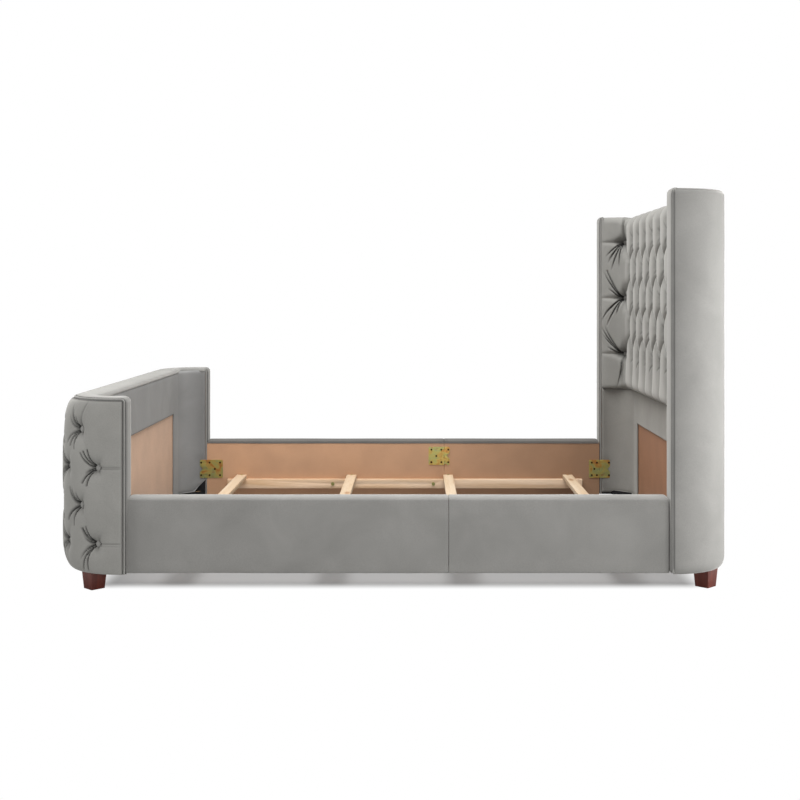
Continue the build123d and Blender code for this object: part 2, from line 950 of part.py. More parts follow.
def on_rail_face(face, x, z, direction, depth):
    """A drawing placed on the +Y rail's inner face, running along X from the joint."""
    at = Plane(
        origin=(x, inner_half - depth, z), x_dir=(direction, 0, 0), z_dir=(0, -direction, 0)
    )
    return at * face


def plate(x, z, length, direction, slotted):
    """One steel plate with its screw holes."""
    face = plate_outline(length, slotted)
    for along, rise in screw_places(length, slotted):
        face -= Pos(along, rise * direction) * Circle(screw_radius)
    flat = on_rail_face(face, x, z, direction, 0)
    return extrude(flat, plate_metal, dir=(0, -1, 0))


def hooks(x, z, direction):
    """Two tabs on a hook plate that reach over the slot plate."""
    tabs = []
    for rise in (-hook_spread, hook_spread):
        tabs.append(
            box(
                x + direction * hook_overlap, x - direction * hook_reach,
                inner_half - 2 * plate_metal, inner_half - plate_metal,
                z + rise - hook_width / 2, z + rise + hook_width / 2,
            )
        )
    return tabs


def hook_plates():
    """Rail plates with their hooks, three on each side."""
    plates = []
    for seam, flip in rail_sides:
        for x, z, length, _, direction in joints(seam):
            piece = plate(x, z, length, direction, False)
            for tab in hooks(x, z, direction):
                piece += tab
            plates += flip([piece])
    return plates


def slot_plates():
    """Plates that the hooks drop over, three on each side."""
    plates = []
    for seam, flip in rail_sides:
        for x, z, _, length, direction in joints(seam):
            plates += flip([plate(x, z, length, -direction, True)])
    return plates


def plate_screws():
    """Screws of all plates."""
    screws = []
    for seam, flip in rail_sides:
        for x, z, hook_length, slot_length, direction in joints(seam):
            for length, way, slotted in (
                (hook_length, direction, False), (slot_length, -direction, True),
            ):
                for along, rise in screw_places(length, slotted):
                    at = Pos(x + way * along, inner_half - plate_metal, z + rise)
                    screws += flip([at * screw(screw_grip + plate_metal)])
    return screws


def screw(length):
    """A pan-head screw pointing along +Y from the surface it holds."""
    head_part = Pos(0, -screw_head_height / 2, 0) * Rot(90, 0, 0) * Cylinder(
        screw_head_radius, screw_head_height
    )
    shank = Pos(0, length / 2, 0) * Rot(90, 0, 0) * Cylinder(screw_radius, length)
    return head_part + shank


def slat_screws():
    """One screw down through each slat's end."""
    top = ledger_bottom + ledger_height + slat_thick
    screws = []
    for x in slat_places():
        down = Pos(x, inner_half - ledger_width / 2, top) * Rot(-90, 0, 0)
        screws += both(down * screw(slat_screw_length))
    return screws


def ledger_bolts():
    """Round-headed bolts that hold the ledgers to the rails."""
    bolts = []
    for share in ledger_bolt_place_shares:
        at = Pos(
            foot_front + rail_span * share, inner_half - ledger_width, ledger_bottom + ledger_height / 2
        )
        head_part = Pos(0, -ledger_bolt_head_height / 2, 0) * Rot(90, 0, 0) * Cylinder(
            ledger_bolt_head_radius, ledger_bolt_head_height
        )
        shank = Pos(0, ledger_bolt_length / 2, 0) * Rot(90, 0, 0) * Cylinder(
            ledger_bolt_radius, ledger_bolt_length
        )
        bolts += both(at * (head_part + shank))
    return bolts


def black_corners():
    """Black cloth turned up inside the bottom front corner of each foot wing."""
    low = foot.floor()
    face = make_face(
        Polyline(
            (welt_width, low), (welt_width, low + black_corner_height),
            (welt_width + black_corner_length, low), close=True,
        )
    )
    return both(extrude(Plane.XZ.offset(-inner_half) * face, dust_cover_thick))


def drilled(pieces, tools):
    """Pieces with every tool that reaches them cut out."""
    result = []
    for piece in pieces:
        bounds = piece.bounding_box()
        near = [tool for tool in tools if touches(bounds, tool.bounding_box())]
        for tool in near:
            piece = piece - tool
        result.append(piece)
    return result


def touches(a, b):
    """Whether two bounding boxes share space."""
    return all(
        low_a < high_b and low_b < high_a
        for low_a, high_a, low_b, high_b in (
            (a.min.X, a.max.X, b.min.X, b.max.X),
            (a.min.Y, a.max.Y, b.min.Y, b.max.Y),
            (a.min.Z, a.max.Z, b.min.Z, b.max.Z),
        )
    )


def as_list(shape):
    return list(shape) if isinstance(shape, (list, tuple)) else [shape]


def at_head(shape):
    """Headboard pieces moved to their end of the bed."""
    return [Pos(head_front, 0, 0) * piece for piece in as_list(shape)]


def at_foot(shape):
    """Footboard pieces turned to face the headboard and moved to their end."""
    return [Pos(foot_front, 0, 0) * mirror(piece, about=Plane.YZ) for piece in as_list(shape)]


def mirrored(shape):
    """Pieces of the +Y side on the other side."""
    return [mirror(piece, about=Plane.XZ) for piece in as_list(shape)]


rail_sides = ((left_seam, as_list), (right_seam, mirrored))
parts = {}
screws_in_plates = plate_screws()
bolts_in_ledgers = ledger_bolts()
screws_in_slats = slat_screws()
bolts_in_legs = leg_bolts()

# Headboard
head_frame_top = head.height - head_frame_top_drop
parts["headboard_bottom_plate"] = drilled(at_head(bottom_plate(head)), bolts_in_legs)
parts["headboard_wing_ribs"] = at_head(head_wing_ribs())
parts["headboard_front_posts"] = drilled(
    at_head(front_posts(head, head.roof())), screws_in_plates
)
parts["headboard_back_posts"] = at_head(head_back_posts())
parts["headboard_cross_rails"] = at_head(head_cross_rails())
parts["headboard_inner_board"] = at_head(inner_board(head, head_frame_top))
parts["headboard_back_board"] = at_head(flat_outer_board(head))
parts["headboard_corner_boards"] = at_head(corner_boards(head))
parts["headboard_wing_boards"] = drilled(at_head(wing_boards(head)), screws_in_plates)
parts["headboard_left_outer_cover"] = at_head(head_side_cover())
parts["headboard_right_outer_cover"] = at_head(mirrored(head_side_cover()))
parts["headboard_back_outer_cover"] = at_head(head_back_cover())
parts["headboard_borders"] = at_head(head_borders())
parts["headboard_welts"] = at_head([outer_welt(head), *inner_welts(head)])
parts["headboard_lower_cover"] = at_head(inner_cover(head, head_tuft_bottom))
parts["headboard_wing_lower_covers"] = drilled(
    at_head(wing_covers(head, head_tuft_bottom)), screws_in_plates
)
parts["headboard_back_tufted_pad"] = at_head(head_back_pad())
parts["headboard_left_wing_pad"] = at_head(head_wing_pad())
parts["headboard_right_wing_pad"] = at_head(mirrored(head_wing_pad()))
parts["headboard_buttons"] = at_head(head_buttons())
parts["headboard_dust_cover"] = drilled(at_head(dust_cover(head)), bolts_in_legs)

# Footboard
parts["footboard_bottom_plate"] = drilled(at_foot(bottom_plate(foot)), bolts_in_legs)
parts["footboard_top_plate"] = at_foot(foot_top_plate())
parts["footboard_uprights"] = drilled(at_foot(foot_uprights()), screws_in_plates)
parts["footboard_inner_board"] = at_foot(inner_board(foot, foot.roof()))
parts["footboard_front_board"] = at_foot(flat_outer_board(foot))
parts["footboard_corner_boards"] = at_foot(corner_boards(foot))
parts["footboard_wing_boards"] = drilled(at_foot(wing_boards(foot)), screws_in_plates)
parts["footboard_inner_cover"] = at_foot(inner_cover(foot, foot.roof()))
parts["footboard_wing_covers"] = drilled(
    at_foot(wing_covers(foot, foot.roof())), screws_in_plates
)
parts["footboard_front_tufted_pad"] = at_foot(foot_front_pad())
parts["footboard_left_tufted_pad"] = at_foot(foot_side_pad())
parts["footboard_right_tufted_pad"] = at_foot(mirrored(foot_side_pad()))
parts["footboard_buttons"] = at_foot(foot_buttons())
parts["footboard_border"] = at_foot(foot_border())
parts["footboard_welts"] = at_foot([outer_welt(foot), *inner_welts(foot)])
parts["footboard_dust_cover"] = drilled(
    at_foot([dust_cover(foot), *black_corners()]), bolts_in_legs
)

# Rails
for side, (seam, flip) in zip(("left", "right"), rail_sides):
    boards = [rail_board(part, seam) for part in (True, False)]
    strips = [ledger(part, seam) for part in (True, False)]
    parts[f"{side}_rail_boards"] = drilled(
        flip(boards), screws_in_plates + bolts_in_ledgers
    )
    parts[f"{side}_foot_rail_cover"] = flip(rail_cover(True, seam))
    parts[f"{side}_head_rail_cover"] = flip(rail_cover(False, seam))
    parts[f"{side}_ledgers"] = drilled(flip(strips), bolts_in_ledgers + screws_in_slats)
cores = []
for seam, flip in rail_sides:
    cores += flip([rail_core(part, seam) for part in (True, False)])
parts["rail_cores"] = drilled(cores, screws_in_plates + bolts_in_ledgers)

# Slats, legs and hardware
for number, x in enumerate(slat_places(), 1):
    parts[f"slat_{number}"] = drilled([slat(x)], screws_in_slats)
parts["slat_centre_legs"] = [centre_leg(x) for x in slat_places()]
parts["slat_screws"] = screws_in_slats
parts["ledger_bolts"] = bolts_in_ledgers
for board, x, half in leg_places():
    name = "head_legs" if board is head else "foot_legs"
    parts[name] = drilled(leg_pair(x, half, board.bottom), bolts_in_legs)
parts["leg_bolts"] = bolts_in_legs
parts["hook_plates"] = hook_plates()
parts["slot_plates"] = slot_plates()
parts["plate_screws"] = screws_in_plates

os.makedirs("parts", exist_ok=True)
for name, pieces in parts.items():
    solids = [solid for piece in pieces for solid in piece.solids()]
    shape = solids[0] if len(solids) == 1 else Compound(children=solids)
    export_step(shape, f"parts/{name}.step")
print(len(parts), "parts, length", bed_length)
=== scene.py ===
from math import pi, radians

import bmesh
import bpy
import numpy as np
from mathutils import Matrix, Vector, noise


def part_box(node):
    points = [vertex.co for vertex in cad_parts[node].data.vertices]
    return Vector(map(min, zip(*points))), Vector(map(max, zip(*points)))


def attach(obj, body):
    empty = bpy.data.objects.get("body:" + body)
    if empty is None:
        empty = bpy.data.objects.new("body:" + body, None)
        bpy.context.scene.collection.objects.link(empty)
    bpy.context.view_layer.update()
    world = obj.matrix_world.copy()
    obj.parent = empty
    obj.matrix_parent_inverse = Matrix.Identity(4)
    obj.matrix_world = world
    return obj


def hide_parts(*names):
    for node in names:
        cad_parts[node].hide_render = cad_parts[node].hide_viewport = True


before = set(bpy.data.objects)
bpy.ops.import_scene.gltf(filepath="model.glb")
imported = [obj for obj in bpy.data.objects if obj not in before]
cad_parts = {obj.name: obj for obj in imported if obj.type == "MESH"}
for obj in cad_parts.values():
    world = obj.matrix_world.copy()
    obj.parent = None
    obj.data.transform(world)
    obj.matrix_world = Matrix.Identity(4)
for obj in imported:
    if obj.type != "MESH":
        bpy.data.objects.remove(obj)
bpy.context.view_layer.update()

mm = 0.001

# The studio: grey paper, whose grey the camera sees only under the bed, as a painted shadow
# over the real shade there, and as white round it; a large soft lamp above, a long fill from
# the camera's side and a small lamp for each near corner. The camera stands square to the
# bed's long side. None of it belongs to the bed.


def colour(code):
    """An sRGB hex value as linear numbers."""
    parts = [int(code[n:n + 2], 16) / 255 for n in (1, 3, 5)]
    return [*(p / 12.92 if p <= 0.04045 else ((p + 0.055) / 1.055) ** 2.4 for p in parts), 1.0]


def add(tree, kind, inputs=None, **settings):
    """Adds a shader node; an input is a value, a socket or a node with its first socket."""
    node = tree.nodes.new("ShaderNode" + kind)
    for name, value in settings.items():
        setattr(node, name, value)
    for name, value in (inputs or {}).items():
        if isinstance(value, bpy.types.Node):
            value = value.outputs[0]
        if isinstance(value, bpy.types.NodeSocket):
            tree.links.new(value, node.inputs[name])
        else:
            node.inputs[name].default_value = value
    return node


def blank_material(name):
    """A new material, its node tree and the places of its pieces in metres."""
    made = bpy.data.materials.new(name)
    made.use_nodes = True
    tree = made.node_tree
    tree.nodes.clear()
    return made, tree, add(tree, "TexCoord").outputs["Object"]


# Matt grey paper; under the bed the camera sees its grey as a painted shadow over the real shade,
# and away from the bed as plain white, with a soft edge.
painted_shadow_middle, painted_shadow_half, painted_shadow_fade = (0.02, 0.0, 0.0), (0.99, 0.72, 0.0), 0.11
nothing = (0.0, 0.0, 0.0)
floor_sheet, tree, spread = blank_material("studio_paper")
paths = add(tree, "LightPath")
for step, other in (
    ("SUBTRACT", painted_shadow_middle), ("ABSOLUTE", nothing), ("SUBTRACT", painted_shadow_half),
    ("MAXIMUM", nothing), ("LENGTH", nothing),
):
    spread = add(tree, "VectorMath", {0: spread, 1: other}, operation=step)
fade = add(tree, "MapRange", {
    "Value": spread.outputs["Value"], "From Min": 0.0, "From Max": painted_shadow_fade,
}, interpolation_type="SMOOTHSTEP")
seen = add(tree, "Math", {0: fade, 1: paths.outputs["Is Camera Ray"]}, operation="MULTIPLY")
paper = add(tree, "BsdfDiffuse", {"Color": colour("#929292")})
glow = add(tree, "Emission", {"Color": (1, 1, 1, 1), "Strength": 1.0})
mixed = add(tree, "MixShader", {0: seen, 1: paper, 2: glow})
add(tree, "OutputMaterial", {"Surface": mixed})

bm = bmesh.new()
bmesh.ops.create_grid(bm, x_segments=1, y_segments=1, size=20)
floor_mesh = bpy.data.meshes.new("studio_floor")
bm.to_mesh(floor_mesh)
bm.free()
floor_mesh.materials.append(floor_sheet)
studio_floor = bpy.data.objects.new("studio_floor", floor_mesh)
bpy.context.collection.objects.link(studio_floor)

world = bpy.data.worlds.new("studio")
bpy.context.scene.world = world
world.use_nodes = True
tree = world.node_tree
tree.nodes.clear()
paths = add(tree, "LightPath")
bright = paths.outputs["Is Camera Ray"]
for ray in ("Is Transmission Ray", "Is Glossy Ray"):
    bright = add(tree, "Math", {0: bright, 1: paths.outputs[ray]}, operation="MAXIMUM")
level = add(tree, "MapRange", {"Value": bright, "To Min": 0.42, "To Max": 1.0})
sky = add(tree, "Background", {"Color": (1, 1, 1, 1), "Strength": level})
add(tree, "OutputWorld", {"Surface": sky})

for name, power, width, height, spot, target in (
    ("overhead_softbox", 225, 3.0, 3.0, (-0.3, -0.6, 4.0), (-0.2, 0.0, 0.3)),
    ("front_fill", 138, 4.0, 1.0, (2.2, -5.0, 0.9), (0.6, 0.0, 0.5)),
    ("foot_corner_fill", 42, 1.6, 1.6, (-3.6, -1.9, 0.9), (-1.1, -0.7, 0.35)),
    ("head_corner_strip", 29, 0.5, 1.4, (2.2, -1.03, 0.75), (1.1, -0.85, 0.7)),
):
    lamp = bpy.data.lights.new(name, "AREA")
    lamp.shape = "RECTANGLE"
    lamp.energy = power
    lamp.size = width
    lamp.size_y = height
    holder = bpy.data.objects.new(name, lamp)
    holder.location = spot
    holder.rotation_euler = (Vector(target) - Vector(spot)).to_track_quat("-Z", "Y").to_euler()
    bpy.context.collection.objects.link(holder)

view = bpy.data.cameras.new("photo_view")
view.lens = 57.4
view.shift_x = -0.02
view.shift_y = -0.1344
camera = bpy.data.objects.new("photo_view", view)
camera.location = (0.0807, -5.206, 1.0196)
camera.rotation_euler = (radians(90), 0, 0)
bpy.context.collection.objects.link(camera)
bpy.context.scene.camera = camera
bpy.context.scene.view_settings.view_transform = "Standard"


# The velvet: a short polyester pile on a knitted ground, grey, with the soft light and dark
# patches that brushed pile shows and a pale bloom where it is seen along the surface.


def levels(low, high, to_low=0.0, to_high=1.0):
    """The settings that turn one range of values into another."""
    return {"From Min": low, "From Max": high, "To Min": to_low, "To Max": to_high}


def finish(tree, looks, relief, strength, depth):
    """Every material's end: the looks of its surface, over a relief some mm deep."""
    bump = add(tree, "Bump", {"Strength": strength, "Distance": depth * mm, "Height": relief})
    skin = add(tree, "BsdfPrincipled", {**looks, "Normal": bump})
    add(tree, "OutputMaterial", {"Surface": skin})


def velvet(name, tone, painted_shade, bloom=0.55):
    """Short-pile velvet, darkened by the painted shade that each cloth carries in its folds,
    creases, seams and shaded sides; the third argument sets how dark that goes.

    Brushed patches are about 180 mm wide. The pile, hairs of 0.3 mm, is too fine to show, so
    it is drawn in tufts of 2.4 mm.
    """
    made, tree, place = blank_material(name)
    patches = add(tree, "TexNoise", {
        "Vector": place, "Scale": 5.5, "Detail": 3.0, "Roughness": 0.55, "Distortion": 0.4,
    })
    pile = add(tree, "TexNoise", {"Vector": place, "Scale": 420.0, "Detail": 2.0, "Roughness": 0.6})
    soft = add(tree, "MapRange", {"Value": patches, **levels(0.3, 0.7, 0.90, 1.08)})
    grain = add(tree, "MapRange", {"Value": pile, **levels(0.25, 0.75, 0.90, 1.10)})
    level = add(tree, "Math", {0: soft, 1: grain}, operation="MULTIPLY")
    # Painted shade, read from each point of the cloth.
    depth = add(tree, "Attribute", attribute_name="painted_shade").outputs["Fac"]
    shade = add(tree, "MapRange", {"Value": depth, **levels(0.0, 1.0, 1.0, 1.0 - painted_shade)})
    level = add(tree, "Math", {0: level, 1: shade}, operation="MULTIPLY")
    tint = add(tree, "VectorMath", {0: colour(tone)[:3], "Scale": level}, operation="SCALE")
    finish(tree, {
        "Base Color": tint, "Roughness": 0.82, "Specular IOR Level": 0.15, "Sheen Weight": bloom,
        "Sheen Roughness": 0.38, "Sheen Tint": colour("#E9E7E2"),
    }, pile, 0.25, 0.4)
    return made


# One grey velvet in lit and shaded copies: the linings' are painted lighter, the foot lining's with
# almost no sheen, for the dim light inside the boards; the darkest is painted shade, for the far
# rails and the headboard's buttons.
smooth_velvet = velvet("smooth_grey_velvet", "#7E7D7A", 0.8)
tufted_velvet = velvet("tufted_grey_velvet", "#84837F", 0.92)
lining_velvet = velvet("grey_velvet_painted_lighter", "#8C8A85", 0.75, bloom=0.3)
foot_velvet = velvet("grey_velvet_painted_lighter_low_sheen", "#878786", 0.75, bloom=0.12)
shaded_velvet = velvet("grey_velvet_with_painted_shade", "#64625F", 0.75, bloom=0.08)


# Headboard outside: velvet over thin foam on bent plywood, smooth from each wing's front
# round the corner, with an upright seam where the straight back begins.

head_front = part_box("headboard_borders")[0][0]
head_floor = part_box("headboard_left_outer_cover")[0][2]
head_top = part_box("headboard_borders")[1][2]
clear_half = 800 * mm
welt = 8 * mm


def part_way(x, reach):
    """How much of a reach has been gone, from 0 to 1."""
    return np.clip(x / reach, 0, 1)


def bell(x, width):
    """1 in the middle, and falling away to both sides of it."""
    return np.exp(-(x / width) ** 2)


def outline(along, half, depth, radius, start=0.0):
    """Plan of a U-shaped board's edge: depth and side of each point, and its outward way."""
    side = depth - radius - start
    total = edge_length(half, depth, radius, start)
    s = np.minimum(along, total - along)
    turn = np.clip((s - side) / radius, 0, pi / 2)
    flip = np.where(along > total / 2, -1.0, 1.0)
    u = start + np.clip(s, 0, side) + radius * np.sin(turn)
    y = half - radius + radius * np.cos(turn) - np.clip(s - side - radius * pi / 2, 0, None)
    return u, y * flip, np.sin(turn), np.cos(turn) * flip


def edge_length(half, depth, radius, start=0.0):
    """Length of that edge from one wing's front to the other's."""
    return 2 * (depth - radius - start + radius * pi / 2 + half - radius)


def stops(places, step):
    """Even divisions of about one step between given places, which all keep a division."""
    runs = [
        np.linspace(a, b, max(1, round((b - a) / step)) + 1)[:-1]
        for a, b in zip(places[:-1], places[1:])
    ]
    return np.concatenate([*runs, [places[-1]]])


def lay_cloth(columns, rows, shape, flip=False, dents=0.0, dent_size=0.16, closed=False):
    """A grid of cloth with each crossing put in place by its column and row."""
    across, down = columns - 1, rows - 1
    bm = bmesh.new()
    bmesh.ops.create_grid(bm, x_segments=across, y_segments=down, size=0.5)
    bm.verts.ensure_lookup_table()
    spots = np.array([v.co[:2] for v in bm.verts]) + 0.5
    column = np.rint(spots[:, 0] * across).astype(int)
    row = np.rint(spots[:, 1] * down).astype(int)
    # The shape gives each point its place and its painted shade.
    points, painted_shade = shape(column, row)
    layer = bm.verts.layers.float.new("painted_shade")
    for vert, point, value in zip(bm.verts, points, painted_shade):
        vert.co = point
        vert[layer] = value
    if closed:
        bmesh.ops.remove_doubles(bm, verts=bm.verts, dist=1e-6)
        bmesh.ops.holes_fill(bm, edges=[e for e in bm.edges if e.is_boundary], sides=0)
        bmesh.ops.recalc_face_normals(bm, faces=bm.faces)
    elif flip:
        bmesh.ops.reverse_faces(bm, faces=bm.faces)
    if dents:
        bm.normal_update()
        for vert in bm.verts:
            vert.co += vert.normal * dents * noise.noise(vert.co / dent_size)
    return bm


def put_in_scene(bm, name, material, corner_angle=45):
    """Makes the finished mesh an object that rides on the bed."""
    mesh = bpy.data.meshes.new(name)
    bm.to_mesh(mesh)
    bm.free()
    mesh.materials.append(material)
    mesh.shade_smooth()
    mesh.set_sharp_from_angle(angle=radians(corner_angle))
    piece = bpy.data.objects.new(name, mesh)
    bpy.context.collection.objects.link(piece)
    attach(piece, "root")
    return piece


def thicken(piece, thick):
    """Gives a skin of cloth its foam behind it."""
    wall = piece.modifiers.new("foam", "SOLIDIFY")
    wall.thickness = thick
    wall.offset = -1


cover_plan = (900 * mm, 211.5 * mm, 200 * mm, welt)
cover_total = edge_length(*cover_plan)
turn_under, turn_height = 16 * mm, 34 * mm
turn_in = 7 * mm
corner_end = cover_plan[1] - cover_plan[2] - welt + cover_plan[2] * pi / 2
rises = stops(
    [head_floor, head_floor + turn_height, head_top - welt - turn_in, head_top - welt], 9 * mm
)
rises = np.unique(np.concatenate([
    rises, head_floor + np.array([0.6, 2, 4, 7, 12, 18, 25]) * mm,
    head_top - welt - np.array([0.4, 1.2, 2.5, 4, 5.5]) * mm,
]))


def cover_inset(z):
    """How far the outside cloth is drawn in, turned under at the foot and in at the top."""
    low = part_way(head_floor + turn_height - z, turn_height)
    high = part_way(z - head_top + welt + turn_in, turn_in)
    return turn_under * (1 - np.sqrt(1 - low ** 2)) + turn_in * (1 - np.sqrt(1 - high ** 2))


def closeness(away, reach=3 * mm):
    """1 at a seam or an edge, where cloth is shut in from the light, and 0 past a reach."""
    return np.clip(1 - away / reach, 0, 1)


def outer_cover(name, start, end, node):
    """One piece of the outside, its upright edges drawn in at the seams."""
    by_seam = np.array([1.2, 2.4, 3.6]) * mm
    columns = np.unique(np.concatenate([
        stops([start, start + 6 * mm, end - 6 * mm, end], 9 * mm), start + by_seam, end - by_seam,
    ]))

    def shape(i, j):
        u, y, out_u, out_y = outline(columns[i], *cover_plan)
        z = rises[j]
        edge = np.minimum(columns[i] - start, end - columns[i])
        inset = cover_inset(z) + 2.5 * mm * np.exp(-edge / (2.0 * mm))
        points = np.column_stack([head_front + u - out_u * inset, y - out_y * inset, z])
        # Painted shade along the seams and the top edge.
        return points, closeness(np.minimum(edge, rises[-1] - z))

    bm = lay_cloth(len(columns), len(rises), shape, dents=0.9 * mm)
    piece = put_in_scene(bm, name, smooth_velvet)
    thicken(piece, 6 * mm)
    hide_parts(node)


outer_cover("left_outer_velvet", 0, corner_end, "headboard_left_outer_cover")
outer_cover("back_outer_velvet", corner_end, cover_total - corner_end, "headboard_back_outer_cover")
outer_cover(
    "right_outer_velvet", cover_total - corner_end, cover_total, "headboard_right_outer_cover"
)


# Headboard front bands: a strip of velvet stapled up each wing's front edge between two
# welts, turned back over the wing's top corner.

band_corner = 15 * mm


def band_path(t, bottom, top):
    """Depth, height and facing (forward, up) of a front band at a length from its foot."""
    straight = top - bottom - band_corner
    turn = np.clip((t - straight) / band_corner, 0, pi / 2)
    u = band_corner * (1 - np.cos(turn)) + np.clip(t - straight - band_corner * pi / 2, 0, None)
    z = bottom + np.clip(t, 0, straight) + band_corner * np.sin(turn)
    return u, z, np.cos(turn), np.sin(turn)


band_length = head_top - head_floor - band_corner + band_corner * pi / 2 + 3 * mm
band_columns = stops([0, band_length - 30 * mm, band_length], 8 * mm)
band_rows = 42
band_width = 84 * mm
rail_side, rail_height = 884 * mm, 318 * mm


def head_band(side):
    """One wing's band, with painted shade along its seams and where it meets the rail."""
    def shape(i, j):
        u, z, ahead, up = band_path(band_columns[i], head_floor, head_top)
        share = j / band_rows
        crown = 3.2 * mm * (1 - (2 * share - 1) ** 4) - 2.2 * mm
        y = clear_half + welt + band_width * share
        points = np.column_stack([head_front + u - ahead * crown, side * y, z + up * crown])
        shade_beside_rail = part_way(rail_side - y, 4 * mm) * (z < rail_height)
        away = band_width * np.minimum(share, 1 - share)
        return points, np.maximum(closeness(away), shade_beside_rail)

    return lay_cloth(len(band_columns), band_rows + 1, shape, flip=side > 0, dents=0.5 * mm)


# The two bands are one piece, so the second is added to the first by way of a spare mesh.
bands, other = head_band(1), head_band(-1)
spare = bpy.data.meshes.new("spare")
other.to_mesh(spare)
bands.from_mesh(spare)
other.free()
bpy.data.meshes.remove(spare)
head_bands = put_in_scene(bands, "head_front_bands", smooth_velvet)
thicken(head_bands, 3 * mm)
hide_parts("headboard_borders")


# Welts: round cord wrapped in a bias strip of the same velvet and sewn into the seams,
# along both boards' outer edges and up the inner edges of the wings.


def cord(curve, route):
    """A cord along straight runs, whose corners are rounded to given radii."""
    points = []
    quarter_turn = 0.5523
    for n, (point, radius) in enumerate(route):
        point = Vector(point)
        if radius == 0:
            points.append((point, point, point))
            continue
        before = (Vector(route[n - 1][0]) - point).normalized() * radius
        after = (Vector(route[n + 1][0]) - point).normalized() * radius
        a, b = point + before, point + after
        points += [(a, a, a - before * quarter_turn), (b - after * quarter_turn, b, b)]
    line = curve.splines.new("BEZIER")
    line.bezier_points.add(len(points) - 1)
    for knot, (before, at, after) in zip(line.bezier_points, points):
        knot.handle_left_type = knot.handle_right_type = "FREE"
        knot.handle_left, knot.co, knot.handle_right = before, at, after


def welts(name, front, way, half, depth, radius, bottom, top, node):
    """All the welts of one board."""
    middle, crest_bend = welt / 2, 11 * mm
    curve = bpy.data.curves.new(name, "CURVE")
    curve.dimensions = "3D"
    curve.bevel_depth = middle
    curve.bevel_resolution = 3
    curve.resolution_u = 24
    near, far = front + way * middle, front + way * (depth - middle)
    edge, crest = half - middle, top - middle
    cord(curve, [
        ((near, edge, bottom), 0), ((near, edge, crest), crest_bend),
        ((far, edge, crest), radius - middle), ((far, -edge, crest), radius - middle),
        ((near, -edge, crest), crest_bend), ((near, -edge, bottom), 0),
    ])
    for side in (1, -1):
        y = side * (clear_half + middle)
        cord(curve, [((near, y, bottom), 0), ((near, y, top - welt), 0)])
    curve.use_fill_caps = True
    curve.materials.append(smooth_velvet)
    piece = bpy.data.objects.new(name, curve)
    bpy.context.collection.objects.link(piece)
    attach(piece, "root")
    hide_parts(node)


welts(
    "head_welts", head_front, 1, 900 * mm, 211.5 * mm, 200 * mm, head_floor, head_top,
    "headboard_welts",
)


# Headboard inside below the tufting: flat velvet over thin foam round a bare window, where
# the mattress hides the fibreboard, and round both inner corners to the wings' fronts.


def inner_cloth(
    name, material, front, way, back, bottom, top, window_half, window_top, front_cut,
    wing_shade, nodes,
):
    """The inner lining of one board, with its window cut out and its front corners cut off.

    It lies back under the joint plates on the wings, and goes out round the floor gussets.
    """
    plate_deep, plate_low, plate_high, plate_press = 54 * mm, 140 * mm, 240 * mm, 2.2 * mm
    gusset, top_roll, window_fold = 95 * mm, 12 * mm, 5.5 * mm
    bend = back - 15 * mm
    lining_plan = (clear_half, back, bend, welt)
    total = edge_length(*lining_plan)
    corner = back - bend - welt + bend * pi / 2
    first = corner + clear_half - bend - window_half
    fold = np.array([0.8, 1.8, 3.2, 5.5]) * mm
    columns = np.unique(np.concatenate([
        stops([0, corner, first, total - first, total - corner, total], 14 * mm),
        first - fold, total - first + fold,
    ]))
    heights = np.unique(np.concatenate([
        stops([bottom, window_top, top - top_roll, top], 14 * mm), window_top + fold,
    ]))
    heights = np.concatenate([[bottom - 10 * mm, bottom - 0.5 * mm], heights])

    def shape(i, j):
        u, y, out_u, out_y = outline(columns[i], *lining_plan)
        z = heights[j]
        aside = np.clip(np.abs(y) - window_half, 0, None)
        over = np.clip(z - window_top, 0, None)
        away = np.where(u > back - 1 * mm, np.hypot(aside, over), 1.0)
        turned = closeness(away, window_fold)
        edge = part_way(top - z, top_roll)
        push = 1.0 * mm * edge - 1.5 * mm * (1 - edge)
        push = push - 4.6 * mm * (1 - np.sqrt(1 - turned ** 2))
        push = np.where((u < 75 * mm) & (z < bottom + 60 * mm), 0.0, push)
        under_plate = (u < plate_deep) & (z > plate_low) & (z < plate_high)
        push = np.where(under_plate, -plate_press, push)
        inside = gusset - (back + 1 * mm - u) - (clear_half + 1 * mm - np.abs(y))
        flap = np.clip(inside + 2 * mm, 0, None) / (np.abs(out_u) + np.abs(out_y))
        push = np.where(j < 2, np.maximum(flap, 1.5 * mm), push)
        z = z + np.where((j < 2) & (flap > 0), np.where(j == 1, 1.2 * mm, 10.7 * mm), 0)
        cut = bottom + front_cut * closeness(u - welt, 56 * mm)
        z = np.maximum(z, np.where(cut > bottom, cut, z))
        points = np.column_stack([front + way * (u - out_u * push), y - out_y * push, z])
        # Painted shade: on the flap round the gussets, along the bottom edge, over each wing toward
        # its front and where the cloth turns in at the window.
        shade = np.where(j < 2, 0.35, 0.45 * np.exp(-(z - bottom) / (7 * mm)))
        shade = np.maximum(shade, wing_shade * part_way(back - u, bend))
        return points, np.maximum(shade, 0.3 * turned)

    bm = lay_cloth(len(columns), len(heights), shape, flip=way > 0, dents=0.8 * mm)
    middles = [(face, face.calc_center_median()) for face in bm.faces]
    hole = [face for face, at in middles if abs(at.y) < window_half and at.z < window_top]
    bmesh.ops.delete(bm, geom=hole, context="FACES")
    piece = put_in_scene(bm, name, material)
    thicken(piece, 1.5 * mm)
    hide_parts(*nodes)


quilt_bottom = 571 * mm
window_half = 605 * mm
inner_cloth(
    "head_inner_lining", lining_velvet, head_front, 1, 143 * mm, 90 * mm, quilt_bottom,
    window_half, 422 * mm, 0.0, 0.45, ("headboard_lower_cover", "headboard_wing_lower_covers"),
)


# Headboard tufting: one deep-buttoned velvet quilt over thick foam, from the left wing's
# front welt round both corners to the right one, rolled over the top to the outer welt.

